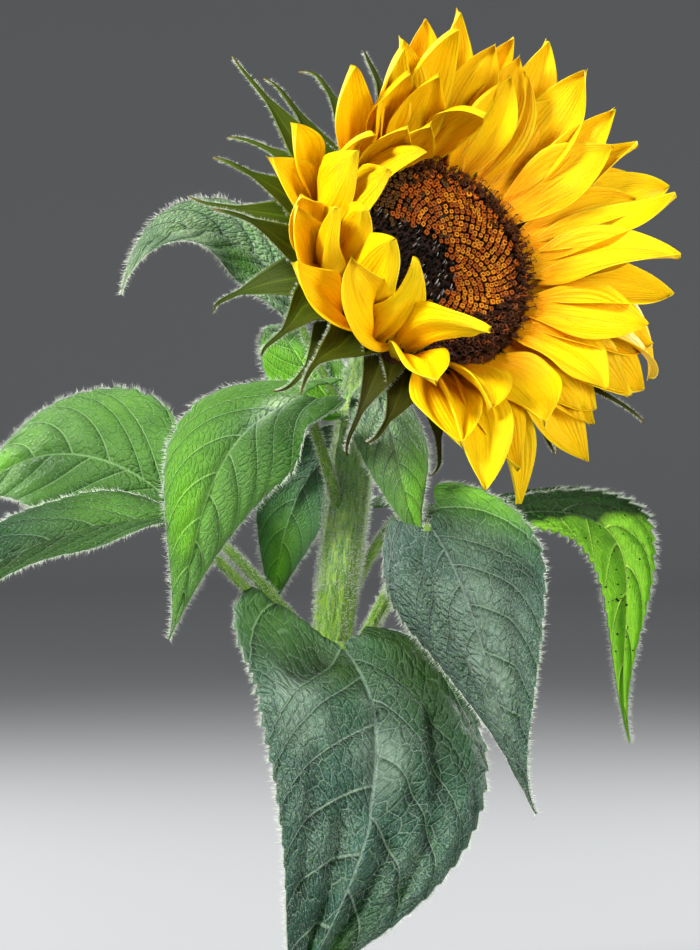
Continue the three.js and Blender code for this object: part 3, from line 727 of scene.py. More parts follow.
class Finish:
    """A procedural material, built node by node."""

    def __init__(self, name, roughness=0.6, specular=0.3, sheen=0.0, subsurface=0.0):
        self.material = bpy.data.materials.new(name)
        self.material.use_nodes = True
        self.tree = self.material.node_tree
        self.skin = next(n for n in self.tree.nodes if n.type == "BSDF_PRINCIPLED")
        self.skin.inputs["Roughness"].default_value = roughness
        self.skin.inputs["Specular IOR Level"].default_value = specular
        self.skin.inputs["Sheen Weight"].default_value = sheen
        self.skin.inputs["Sheen Roughness"].default_value = 0.4
        if subsurface:
            self.skin.inputs["Subsurface Weight"].default_value = subsurface
            self.skin.inputs["Subsurface Scale"].default_value = 0.002

    def put(self, socket, value):
        """Links another node's output to a socket, or sets its value."""
        if isinstance(value, Wire):
            self.tree.links.new(value.socket, socket)
        else:
            socket.default_value = value

    def node(self, kind, inputs=(), output=0, **settings):
        """An output of a new node with its settings and what goes into it."""
        node = self.tree.nodes.new(kind)
        for key, value in settings.items():
            setattr(node, key, value)
        for key, value in dict(inputs).items():
            self.put(node.inputs[key], value)
        return Wire(self, node.outputs[output])

    def math(self, operation, a, b=0.0):
        return self.node("ShaderNodeMath", {0: a, 1: b}, operation=operation)

    def most(self, a, b):
        return self.math("MAXIMUM", a, b)

    def least(self, a, b):
        return self.math("MINIMUM", a, b)

    def span(self, value, low, high, to_low=0.0, to_high=1.0, kind="SMOOTHSTEP"):
        """Carries a value from one range over to another, softly, and holds it there."""
        inputs = {"Value": value, "From Min": low, "From Max": high, "To Min": to_low, "To Max": to_high}
        return self.node("ShaderNodeMapRange", inputs, interpolation_type=kind)

    def between(self, share, first, last):
        """The value that lies a share of the way from a first to a last one."""
        return self.span(share, 0.0, 1.0, first, last, "LINEAR")

    def mix(self, factor, a, b, blend="MIX"):
        """Two colours blended; each is a triple or another node's output."""
        a, b = ((*colour, 1) if isinstance(colour, tuple) else colour for colour in (a, b))
        return self.node("ShaderNodeMix", {0: factor, 6: a, 7: b}, 2, data_type="RGBA", blend_type=blend)

    def toned(self, colour, by):
        """A colour multiplied by another."""
        return self.mix(1.0, colour, by, "MULTIPLY")

    def noise(self, vector, scale, detail=3.0, output=0):
        inputs = {"Vector": vector, "Scale": scale, "Detail": detail}
        return self.node("ShaderNodeTexNoise", inputs, output)

    def warped(self, vector, place, scale, reach):
        """Places pushed about a little by noise."""
        inputs = {0: self.noise(place, scale, 2.0, "Color"), 1: (reach, reach, reach), 2: vector}
        return self.node("ShaderNodeVectorMath", inputs, operation="MULTIPLY_ADD")

    def net(self, vector, randomness):
        """The way to the nearest seam of a flat net of cells."""
        settings = dict(feature="DISTANCE_TO_EDGE", voronoi_dimensions="2D")
        inputs = {"Vector": vector, "Scale": 1.0, "Randomness": randomness}
        return self.node("ShaderNodeTexVoronoi", inputs, **settings)

    def object_place(self):
        return self.node("ShaderNodeTexCoord", output="Object")

    def blade_place(self):
        """Where a point is on its blade: across from -1 to 1, and along from 0 to 1."""
        place = {0: self.node("ShaderNodeUVMap", uv_map="blade")}
        return [self.node("ShaderNodeSeparateXYZ", place, axis) for axis in (0, 1)]

    def tint(self):
        """The colour that the mesh holds at each point."""
        return self.node("ShaderNodeAttribute", output="Color", attribute_name="tint")

    def share(self, name):
        """A value from 0 to 1 that the mesh holds at each point."""
        return self.node("ShaderNodeAttribute", output="Fac", attribute_name=name)

    def combine(self, x, y, z=0.0):
        return self.node("ShaderNodeCombineXYZ", {0: x, 1: y, 2: z})

    def bump(self, height, distance, strength):
        return self.node("ShaderNodeBump", {"Height": height, "Distance": distance, "Strength": strength})

    def finish(self, colour, roughness=None, normal=None):
        """Joins colour, roughness and relief to the skin and gives the material."""
        for name, value in (("Base Color", colour), ("Roughness", roughness), ("Normal", normal)):
            if value is not None:
                self.put(self.skin.inputs[name], value)
        return self.material


def leaf_veins(f, s, t):
    """Where the veins run: side veins passed, the way past the last one, the vein lines, the margin."""
    away = abs(s)
    sweep = away ** LATERAL_CURVE * LATERAL_SWEEP
    root = (t - sweep) / (1 - sweep)
    count = f.most(root, 0.0) ** LATERAL_CROWD + f.least(root, 0.0) * LOBE_CROWD
    phase = count * LATERALS + (s > 0) * 0.5
    turn = f.math("FRACT", phase + 20.0)
    off = f.least(turn, 1 - turn)
    width = f.between(away, 0.036, 0.020)
    lateral = 1 - f.span(off / width, 0.3, 1.2)
    thin = f.between(t, 0.022, 0.014)
    midrib = 1 - f.span(away / thin, 0.5, 1.2)
    return phase, turn, f.most(midrib, lateral), away


def leaf_cells(f, s, t, phase, away, place):
    """Rungs from vein to vein and the small cells between them, as ways to the nearest seam."""
    along = away * 9.0 + t * 24.0 + (s > 0) * 40.0
    ladder = f.combine(phase * 2.6, along)
    cells = f.combine(phase * 6.5, along * 2.3)
    return f.net(f.warped(ladder, place, 55.0, 0.8), 0.85), f.net(f.warped(cells, place, 90.0, 1.0), 0.9)


def leaf_finish(name, colours):
    """Soft matt leaf: pale veins in furrows of painted shade, rungs and small cells between, a silvery bloom
    partly painted as sheen.
    """
    f = Finish(name, roughness=0.62, specular=0.2, subsurface=0.2)
    f.skin.inputs["Subsurface Radius"].default_value = (0.5, 1.0, 0.12)
    s, t = f.blade_place()
    phase, turn, veins, away = leaf_veins(f, s, t)
    place = f.object_place()
    rungs, net = leaf_cells(f, s, t, phase, away, place)
    steps = 1 - f.span(rungs, 0.012, 0.05)
    lines = 1 - f.span(net, 0.02, 0.1)
    hollow_shade = 1 - f.span(rungs, 0.03, 0.25)
    mottle = f.noise(place, 62.0, 6.0)
    grain = f.noise(place, 1500.0, 4.0)
    patch = f.noise(place, 26.0, 4.0)
    bloomed = f.share("bloom")

    # The ground, mottled lighter and darker, and painted shade in hollows and beside the veins.
    base = f.tint()
    deep = f.toned(base, (0.34, 0.46, 0.40))
    bright = f.toned(base, (1.5, 1.35, 1.3))
    spotted = f.between(bloomed, 0.5, 0.85)
    base = f.mix(f.span(mottle, 0.5, 0.72) * spotted, base, bright)
    base = f.mix(f.span(mottle, 0.5, 0.3) * spotted, base, deep)
    shade = f.toned(base, (0.26, 0.38, 0.28))
    base = f.mix(f.span(turn, 0.5, 0.0, 0.0, 0.5), base, shade)
    base = f.mix(hollow_shade * (spotted * 0.55), base, shade)

    # The silvery bloom: the hairs' own pale colour in patches, painted strongest on the crests as sheen, and
    # a fine grain of silver specks painted as highlights on the hairs; and painted shade in the furrow behind
    # each vein.
    crest = f.span(turn, 0.08, 0.4) * f.span(rungs, 0.04, 0.25, 0.3, 1.0)
    bloom = f.span(patch, 0.44, 0.6) * (f.span(grain, 0.38, 0.62) * crest)
    silver = colours["silver"]
    base = f.mix(bloom * (bloomed * 0.9), base, silver)
    base = f.mix(f.span(grain, 0.52, 0.7, 0.0, 0.6) * bloomed, base, silver)
    # Painted shade in the furrow just past each side vein.
    furrow_shade = f.most(1 - f.span(turn, 0.03, 0.14), f.span(turn, 0.94, 1.0) * 0.5)
    base = f.mix(furrow_shade * f.between(bloomed, 0.6, 0.95), base, f.toned(base, (0.22, 0.34, 0.24)))

    # Pale veins, rungs and cell walls, and a pale under side and margin.
    lit = f.mix(1.0, f.toned(f.tint(), (2.0, 1.6, 2.4)), colours["vein"], "ADD")
    pale = f.mix(bloomed, lit, tuple(1.35 * part for part in silver))
    fine = f.most(steps * 0.45, lines * 0.14)
    base = f.mix(fine, base, pale)
    base = f.mix(veins * f.between(bloomed, 0.85, 0.6), base, pale)
    base = f.mix(f.share("under") * (bloomed * 0.07), base, colours["pale"])
    base = f.mix(f.span(away, 0.95, 1.0, 0.0, 0.4), base, silver)

    height = f.span(rungs, 0.0, 0.3) * 1.4 + grain * 0.5 + f.span(net, 0.0, 0.3) * 0.5 - veins * 0.8
    return f.finish(base, f.span(grain, 0.3, 0.7, 0.5, 0.8), f.bump(height, 0.0009, spotted))


def petal_finish(name, colours):
    """Satin petal: orange foot, yellow blade, fine lengthwise ribs and a pale margin."""
    f = Finish(name, roughness=0.5, specular=0.16, subsurface=0.35)
    f.skin.inputs["Subsurface Radius"].default_value = (1.0, 0.55, 0.03)
    s, t = f.blade_place()
    place = f.object_place()
    slow = f.noise(place, 40.0, 3.0)
    strands = f.noise(f.combine(s * 9.0, t * 0.8, slow), 3.0, 5.0)
    hair = f.noise(f.combine(s * 26.0, t * 1.6, slow), 4.0, 3.0)
    orange, lemon = colours["orange"], colours["lemon"]
    inner = f.span(f.share("under"), 0.0, 1.0, 1.0, 0.35)
    foot = t + (strands - 0.5) * 0.5
    base = f.mix(f.span(foot, 0.56, 0.04) * inner, colours["yellow"], orange)
    base = f.mix(f.span(strands, 0.55, 0.85, 0.0, 0.4) * inner, base, orange)
    base = f.mix(f.span(hair, 0.5, 0.75, 0.0, 0.6), base, lemon)
    base = f.mix(f.span(f.share("under"), 0.0, 1.0, 0.0, 0.35), base, lemon)
    away = abs(s)
    edge = f.most(f.span(away, 0.93, 1.0), f.span(t, 0.985, 1.0))
    base = f.mix(edge * f.span(slow, 0.45, 0.62, 0.0, 0.45), base, colours["rim"])
    base = f.toned(base, f.tint())
    height = strands * 1.2 + hair * 0.6 + f.math("SINE", s * 46.0) * 0.22
    return f.finish(base, f.span(strands, 0.3, 0.7, 0.42, 0.62), f.bump(height, 0.0006, 0.8))


def stem_finish(name, colours):
    """Green skin with pale lengthwise stripes; blade place is angle across and length along."""
    f = Finish(name, roughness=0.6, specular=0.3, sheen=0.2)
    u, v = f.blade_place()
    place = f.object_place()
    wander = f.noise(place, 60.0, 3.0)
    lines = f.noise(f.combine(u * 22.0, v * 1.2, wander), 1.6, 4.0)
    base = f.mix(f.span(lines, 0.38, 0.62), colours["stem"], colours["stripe"])
    blotch = f.noise(place, 35.0, 4.0)
    base = f.mix(f.span(blotch, 0.45, 0.75, 0.0, 0.6), base, colours["green"])
    specks = f.noise(place, 1400.0, 2.0)
    base = f.mix(f.span(specks, 0.62, 0.8, 0.0, 0.35), base, colours["hair"])
    base = f.toned(base, f.tint())
    height = lines + specks * 0.7
    return f.finish(base, f.span(specks, 0.3, 0.7, 0.5, 0.75), f.bump(height, 0.0006, 0.8))


def bract_finish(name, colours):
    """Olive green bract with lengthwise veins, a pale margin and a browned tip."""
    f = Finish(name, roughness=0.62, specular=0.16)
    s, t = f.blade_place()
    place = f.object_place()
    away = abs(s)
    lines = f.noise(f.combine(s * 7.0, t * 0.9, 0.0), 2.4, 4.0)
    mottle = f.noise(place, 90.0, 4.0)
    base = f.mix(f.span(lines, 0.4, 0.65), f.tint(), f.toned(f.tint(), (0.5, 0.62, 0.4)))
    base = f.mix(f.span(mottle, 0.5, 0.8, 0.0, 0.6), base, f.toned(f.tint(), (0.7, 1.3, 1.0)))
    midrib = 1 - f.span(away, 0.02, 0.1)
    ridge = f.most(f.span(away, 0.86, 1.0) * 0.5, midrib * 0.35)
    base = f.mix(ridge, base, f.toned(f.tint(), (2.2, 2.4, 3.0)))
    base = f.mix(f.span(t, 0.86, 1.0, 0.0, 0.7), base, colours["dry"])
    grain = f.noise(place, 1100.0, 3.0)
    height = lines * 1.1 + grain * 0.5
    return f.finish(base, f.span(grain, 0.3, 0.7, 0.5, 0.72), f.bump(height, 0.0005, 0.8))


def floret_finish(name, tone):
    """Rough glinting floret skin in one plain tone, lighter in a fine grain, times the tint of each point,
    which on florets holds their painted light and shade.
    """
    f = Finish(name, roughness=0.45, specular=0.2)
    place = f.object_place()
    grain = f.noise(place, 1500.0, 4.0)
    lit = f.mix(f.span(grain, 0.4, 0.7, 0.0, 0.6), tone, tuple(min(1.0, 1.6 * part) for part in tone))
    base = f.toned(lit, f.tint())
    return f.finish(base, f.span(grain, 0.3, 0.7, 0.3, 0.6), f.bump(grain, 0.0003, 0.7))


def hair_finish(name, colours):
    """White hairs, a little greener here and there."""
    f = Finish(name, roughness=0.45, specular=0.5, sheen=0.2)
    drift = f.noise(f.object_place(), 70.0, 3.0)
    base = f.mix(f.span(drift, 0.35, 0.7, 0.0, 0.5), colours["hair"], colours["hair_green"])
    return f.finish(base, f.span(drift, 0.3, 0.7, 0.4, 0.6))


def floor_finish(name, colours):
    """Pale matt paper with a fine grain."""
    f = Finish(name, roughness=0.85, specular=0.1)
    grain = f.noise(f.object_place(), 300.0, 4.0)
    floor = colours["floor"]
    base = f.mix(f.span(grain, 0.3, 0.7, 0.0, 0.08), floor, tuple(0.9 * c for c in floor))
    return f.finish(base, None, f.bump(grain, 0.0002, 0.3))


# Colours and sizes that a user may change
def colour_of(name, description, default):
    """A colour that a user may set."""
    return FloatVectorProperty(
        name=name, description=description, default=default, subtype="COLOR", size=3, min=0, max=1,
    )


class SunflowerColours(PropertyGroup):
    """Colours of the plant and its stage."""

    yellow: colour_of("Petal yellow", "Main colour of the ray petals", (0.95, 0.56, 0.0))
    orange: colour_of("Petal orange", "Feet and streaks of the ray petals", (0.94, 0.32, 0.0))
    lemon: colour_of("Petal lemon", "Light streaks of the ray petals", (1.0, 0.72, 0.002))
    rim: colour_of("Petal rim", "Pale line along a petal's margin", (1.0, 0.79, 0.03))
    green: colour_of("Leaf green", "Mid green of leaves", (0.027, 0.086, 0.008))
    lime: colour_of("Leaf lime", "Bright green of young and thin leaves", (0.125, 0.36, 0.011))
    # Partly the leaves' own clear green, partly painted light: lighter for the leaves that stand in full
    # light.
    fresh: colour_of("Leaf fresh", "Clear green of the leaves in full light", (0.076, 0.200, 0.025))
    # Painted light: the glow of a thin blade lit through from behind.
    glow: colour_of("Leaf glow", "Bright yellow green of a thin hanging blade", (0.27, 0.60, 0.028))
    teal: colour_of("Leaf teal", "Bluish green of the large leaves", (0.0135, 0.053, 0.0365))
    # Painted shade: a deep green painted where leaves lie in shade.
    dark: colour_of("Leaf dark", "Deep green of shaded folds", (0.012, 0.042, 0.0012))
    # Partly the hairs' own pale colour, partly painted sheen where they catch the light.
    silver: colour_of("Leaf silver", "Silvery bloom of the hairy skin", (0.153, 0.213, 0.160))
    pale: colour_of("Leaf pale", "Pale underside and hairy margins", (0.40, 0.58, 0.32))
    vein: colour_of("Vein", "Light added along the veins of leaves", (0.04, 0.06, 0.035))
    stem: colour_of("Stem green", "Skin of stem and stalks", (0.055, 0.160, 0.010))
    stripe: colour_of("Stem stripe", "Pale stripes of stem and stalks", (0.17, 0.30, 0.020))
    bract: colour_of("Bract green", "Green of the bracts and the cup", (0.046, 0.048, 0.0016))
    dry: colour_of("Dry tip", "Browned tips of the bracts", (0.20, 0.14, 0.05))
    hair: colour_of("Hair", "White hairs", (0.66, 0.70, 0.60))
    hair_green: colour_of("Hair shade", "Greener hairs", (0.44, 0.54, 0.34))
    gold: colour_of("Floret gold", "Knobs of the disc's florets", (0.35, 0.080, 0.003))
    amber: colour_of("Floret amber", "Brightest knobs of the disc", (0.57, 0.20, 0.006))
    # Partly painted shade: knobs made dark where the disc lies in shade, and spent knobs.
    umber: colour_of("Floret umber", "Shaded and spent knobs of the disc", (0.085, 0.034, 0.004))
    # Painted glints: pale bristles stand for the glints of light in the disc's dark middle.
    glint: colour_of("Bristle glint", "Pale tips in the disc's dark middle", (0.42, 0.43, 0.40))
    brown: colour_of("Floret brown", "Feet and outer florets of the disc", (0.040, 0.011, 0.003))
    centre: colour_of("Disc centre", "Dark bristly middle of the disc", (0.010, 0.011, 0.008))
    floor: colour_of("Floor", "Paper floor and backdrop", (0.30, 0.305, 0.31))


class SunflowerSizes(PropertyGroup):
    """Sizes of the plant's fine detail."""

    vein_depth: FloatProperty(
        name="Vein relief", description="Height of the leaf puckers between veins",
        default=0.0013, min=0, max=0.003, unit="LENGTH",
    )
    petal_fold: FloatProperty(
        name="Petal folds", description="Height of the soft lengthwise folds of petals",
        default=0.0014, min=0, max=0.003, unit="LENGTH",
    )
    stem_hair: FloatProperty(
        name="Stem hair", description="Length of the hairs on stem and stalks",
        default=0.0026, min=0.0005, max=0.006, unit="LENGTH",
    )
    leaf_hair: FloatProperty(
        name="Leaf hair", description="Length of the hairs along leaf margins",
        default=0.0030, min=0.0005, max=0.006, unit="LENGTH",
    )
    hair_width: FloatProperty(
        name="Hair width", description="Width of a hair at its foot",
        default=0.00016, min=0.00005, max=0.001, unit="LENGTH",
    )
    florets: IntProperty(
        name="Florets", description="Number of florets in the disc", default=1050, min=200, max=2000,
    )


def colours_of(context):
    """The colours by name, as plain tuples."""
    group = context.scene.sunflower_colours
    return {key: tuple(getattr(group, key)) for key in SunflowerColours.__annotations__}


def sizes_of(context):
    """Sizes in millimetres, and counts as they are."""
    group = context.scene.sunflower_sizes
    values = {}
    for key in SunflowerSizes.__annotations__:
        value = getattr(group, key)
        values[key] = value if isinstance(value, int) else value / MM
    return values


def material_named(name, make, value):
    """The material of a name, made from a colour or from all of them when it is not there yet."""
    return bpy.data.materials.get(name) or make(name, value)


# Seeds of the random draws.
SEEDS = dict(specks=31, petals=11, bracts=23, disc=5, hairs=3)


# Stem and stalks

# The ways from which angles round the stem and round a stalk are counted.
STEM_START = np.array([1.0, 0.0, 0.0])
STALK_START = np.array([0.3, 0.2, 1.0])
STEM_RINGS, STEM_SIDES = 200, 72
STALK_RINGS, STALK_SIDES = 56, 26
# A stalk starts this far from the stem's axis.
STALK_INSET = 5.5
# Length of a limb over which the pattern of its stripes moves on by one.
STRIPE_RUN = 10
# How much paler the top of the stem is, where that starts, and over what share it comes in: partly its
# woolly down, partly painted light that lifts the head's shadow, most on the side facing the camera.
STEM_DOWN_AND_LIGHT = (3.1, 2.5, 8.5)
DOWN_AND_LIGHT_FROM = 0.62
DOWN_AND_LIGHT_REACH = 0.16


def limb_points(line, t, angle, start, radius):
    """Points on a limb's skin at shares t and angles, with the ways outward and along."""
    at, along = resampled(line, t)
    across = unit(start - along * (along @ start)[:, None])
    third = np.cross(across, along)
    out = across * np.cos(angle)[:, None] + third * np.sin(angle)[:, None]
    return at + out * radius[:, None], out, along


def stem_skin(t, angle):
    """Radius of the stem with its lengthwise ridges."""
    broad = 0.3 * np.cos(9 * angle + 3 * t)
    ridge = broad + 0.18 * np.cos(17 * angle - 5 * t) + 0.15 * np.sin(23 * t + 2 * angle)
    return stem_radius(t) + ridge - 0.2


def stalk_skin(leaf, t, angle):
    """Radius of a stalk: swollen at its foot, grooved along its top."""
    radius = leaf["stalk"] * (1 - (1 - STALK_TIP_SHARE) * t)
    swell = 1 + 0.25 * np.exp(-((t * 9) ** 2))
    groove = 0.16 * np.exp(-((np.angle(np.exp(1j * angle)) / 0.5) ** 2)) * radius
    return radius * swell - groove + 0.1 * np.cos(7 * angle + 4 * t)


def add_limb(shape, line, skin, start, rings, sides, t_low=0.0, tint=(1, 1, 1)):
    """A closed limb round a line from a share of it onwards; skin tells its radius."""
    t = np.repeat(np.linspace(t_low, 1, rings), sides)
    angle = np.tile(round_angles(sides), rings)
    points = limb_points(line, t, angle, start, skin(t, angle))[0]
    ends = resampled(line, np.array([t_low, 1]))[0]
    place = np.stack([np.sin(angle / 2), t * line_size(line) / STRIPE_RUN], -1)
    place = np.vstack([place, place[:1], place[-1:]])
    faces = tube_faces(rings, sides)[:, ::-1]
    faces = np.where(faces[:, :1] < 0, np.roll(faces, -1, axis=1), faces)
    shape.add(np.vstack([points, ends]), faces, tint, place)


def stem_tint(ground):
    """How much paler the stem is at each point of its mesh, most on one side of its top: its woolly down and
    painted light.
    """
    t = np.repeat(np.linspace(ground, 1, STEM_RINGS), STEM_SIDES)
    angle = np.tile(round_angles(STEM_SIDES), STEM_RINGS)
    # Painted light on the stem's top, strongest on the side facing the camera.
    down = np.clip((t - DOWN_AND_LIGHT_FROM) / DOWN_AND_LIGHT_REACH, 0, 1) * np.clip(0.4 + 0.6 * np.sin(angle), 0.2, 1)
    down = np.append(down, [down[0], down[-1]])[:, None]
    return 1 + down * (np.array(STEM_DOWN_AND_LIGHT) - 1)


class SUNFLOWER_OT_stem(Operator):
    """Builds the ridged stem and the leaf stalks"""

    bl_idname = "sunflower.stem"
    bl_label = "Stem and Stalks"

    def execute(self, context):
        colours = colours_of(context)
        material = material_named("Stem skin", stem_finish, colours)
        run = line_run(STEM_LINE)
        ground = float(np.interp(0.0, STEM_LINE[:60, 2], run[:60]) / run[-1])
        shape = Shape()
        form = (STEM_LINE, stem_skin, STEM_START, STEM_RINGS, STEM_SIDES)
        add_limb(shape, *form, t_low=ground, tint=stem_tint(ground))
        shape.piece("stem_skin", material, "stem", ["stem"])
        for name, leaf in STALKED.items():
            line = stalk_line(leaf)
            shape = Shape()
            form = (line, partial(stalk_skin, leaf), STALK_START, STALK_RINGS, STALK_SIDES)
            add_limb(shape, *form, t_low=STALK_INSET / line_size(line))
            shape.piece(f"stalk_{name}_skin", material, "stem", [f"stalk_{name}"])
        return {"FINISHED"}


# Leaves

# Length of a leaf's mesh faces.
LEAF_FACE = 1.35
# Dark specks on the lit side of the leaf that hangs: how many, from where to where along and across
# it, their sizes, and the rings and sides of one.
SPECKS = 34
SPECK_SPAN = (0.41, 0.8)
SPECK_WIDTH = (-0.85, 0.85)
SPECK_SIZES = (0.3, 0.65)
SPECK_RINGS = ((0.5, -0.1), (1.0, 0.2), (0.8, 0.6), (0, 0.8))
SPECK_SIDES = 7


class SUNFLOWER_OT_leaves(Operator):
    """Builds the veined and toothed leaves"""

    bl_idname = "sunflower.leaves"
    bl_label = "Leaves"

    def execute(self, context):
        colours, sizes = colours_of(context), sizes_of(context)
        material = material_named("Leaf blade", leaf_finish, colours)
        for name, leaf in LEAVES.items():
            point_at, _, _ = make_leaf_point(leaf, sizes["vein_depth"])
            rows, cols = round(leaf["length"] / LEAF_FACE), 2 * round(leaf["width"] / LEAF_FACE / 2)
            points, faces, place, under = blade_shell(point_at, rows, cols)
            tint, bloom = leaf_colours(leaf, place[:, 1], place[:, 0], under, colours)
            shape = Shape().add(points, faces, tint, place, under, bloom)
            shape.piece(f"leaf_{name}_blade", material, "leaf", [f"leaf_{name}"])
        self.add_specks(LEAVES["right_back"], colours, sizes)
        return {"FINISHED"}

    def add_specks(self, leaf, colours, sizes):
        """Small dark grains that lie on a leaf's under side."""
        rng = np.random.default_rng(SEEDS["specks"])
        point_at, rib, form = make_leaf_point(leaf, sizes["vein_depth"])
        t, s = rng.uniform(*SPECK_SPAN, SPECKS), rng.uniform(*SPECK_WIDTH, SPECKS)
        _, along, side, face = blade_point(rib, form, t, s, 0 * t)
        grain = ring_template(SPECK_RINGS, SPECK_SIDES)
        scales = np.repeat(rng.uniform(*SPECK_SIZES, (SPECKS, 1)), 3, axis=1)
        tints = np.ones((SPECKS, len(grain[0]), 3))
        frames = np.stack([side, along, -face], 1)
        shape = placed_copies(grain, point_at(t, s, -1), frames, scales, tints, carry=np.asarray)
        shape.piece("leaf_specks", material_named("Leaf specks", floret_finish, colours["centre"]), "leaf")


# Ray petals
PETAL_GRID_ROWS = 30
PETAL_GRID_COLS = 22


def make_petal_point(petal, fold_height, rng):
    """A function that places points on either side of a petal."""
    row, angle, lean, foot_rise, tip_rise, length, width, roll = petal
    rib = head_rib(angle, lean, (foot_rise, tip_rise), roll, PETAL_ROWS[row], length)
    form = dict(width=width, outline=petal_outline, lobes=(0, 0), fold=0, cup=PETAL_CUP, ripple=0)
    phase, shift, waves = rng.uniform(0, FULL_TURN), rng.uniform(0, FULL_TURN), rng.uniform(1.0, 1.8)
    folds = rng.uniform(1.6, 2.8)
    keel, keel_at = rng.uniform(0.05, 0.4), rng.uniform(-0.25, 0.25)
    notch = rng.uniform(-0.02, 0.02)
    curl = rng.uniform(-4.0, 5.0)
    sway = rng.uniform(-2.0, 2.0)

    # Soft folds, a keel beside the middle, fine ribs, a waving margin, and an end that is pinched,
    # curled, notched and bent aside.
    def point_at(t, s, side):
        a = np.abs(s)
        middle = np.sin(np.pi * np.clip(t * 0.95 + 0.05, 0, 1))
        crease = np.cos(folds * np.pi * s + 0.8 * np.sin(3 * t + phase)) * fold_height * middle * 0.8
        ridge = keel * width / 2 * (np.hypot(s - keel_at, 0.1) - 0.4) * middle
        fine = 0.14 * np.cos(5 * np.pi * s + phase) * middle
        edge = 1.5 * np.sin(waves * 2 * np.pi * t + shift + (s > 0) * 1.7) * a ** 3 * middle
        end = np.clip((t - 0.7) / 0.3, 0, 1) ** 2
        pinch = 2.6 * a * a * end
        lift = crease + ridge + fine + edge + pinch + curl * end + side * PETAL_HALF
        point, along, across, _ = blade_point(rib, form, t, s, lift)
        back = notch * length * np.exp(-((s / 0.5) ** 2)) * np.clip((t - 0.9) / 0.1, 0, 1)
        bend = sway * end
        return from_head(point - along * back[..., None] + across * bend[..., None])

    return point_at


class SUNFLOWER_OT_petals(Operator):
    """Builds the ray petals round the disc"""

    bl_idname = "sunflower.petals"
    bl_label = "Ray Petals"

    def execute(self, context):
        colours, sizes = colours_of(context), sizes_of(context)
        material = material_named("Ray petal", petal_finish, colours)
        rng = np.random.default_rng(SEEDS["petals"])

        def blade(petal):
            point_at = make_petal_point(petal, sizes["petal_fold"], rng)
            points, faces, place, under = blade_shell(point_at, PETAL_GRID_ROWS, PETAL_GRID_COLS)
            warm = rng.uniform(0.88, 1.0)
            return Shape().add(points, faces, (rng.uniform(0.93, 1.0), warm, warm), place, under)

        for name, petal in PETALS.items():
            blade(petal).piece(f"petal_{name}_blade", material, "petal", [f"petal_{name}"])
        for k, petal in enumerate(INNER_PETALS):
            blade(petal).piece(f"petal_inner_{k + 1}_blade", material, "petal")
        return {"FINISHED"}


# Cup and bracts

# Above this height the cup's rim has the colour of the florets.
RIM_BROWN = -7.0
# Bracts at about this angle round the head are painted a lighter green, as light on that side of the head, by
# these shares of each colour.
SUNNY_ANGLE = 150
SUNNY_TINT = (0.2, 0.75, 0.9)
BRACT_GRID_ROWS = 34
BRACT_GRID_COLS = 12
BRACT_FORM = dict(width=BRACT_WIDTH, outline=bract_outline, lobes=(0, 0), fold=0, cup=BRACT_CUP, ripple=0)
CUP_RINGS, CUP_SIDES = 40, 96
# The cup's height at its open front, and how many ribs it has and how high they are.
CUP_FRONT = -1
CUP_RIBS = 24
CUP_RIB_RISE = 0.012


def bract_point(bract, t, s, lift):
    """Points of a bract, whose thin tail curls, in the plant's frame."""
    row, angle, lean, foot_rise, tip_rise, length = bract
    rib = head_rib(angle, lean, (foot_rise, tip_rise), 0, BRACT_ROWS[row], length)
    point, along, side, face = blade_point(rib, BRACT_FORM, t, s, lift)
    turn = angle * 2.4
    sway = 3.0 * math.sin(turn) * np.sin(np.pi * np.clip((t - 0.35) / 0.65, 0, 1))
    hook = np.clip((t - 0.82) / 0.18, 0, 1) ** 2
    drift = (sway + 3.5 * math.cos(turn * 1.7) * hook)[..., None]
    dip = (2.0 * np.sin(np.pi * np.clip((t - 0.3) / 0.7, 0, 1)) * math.cos(turn) - 2.5 * hook)[..., None]
    point = point + side * drift + face * dip - along * (1.5 * hook)[..., None]
    return from_head(point), along, side, face


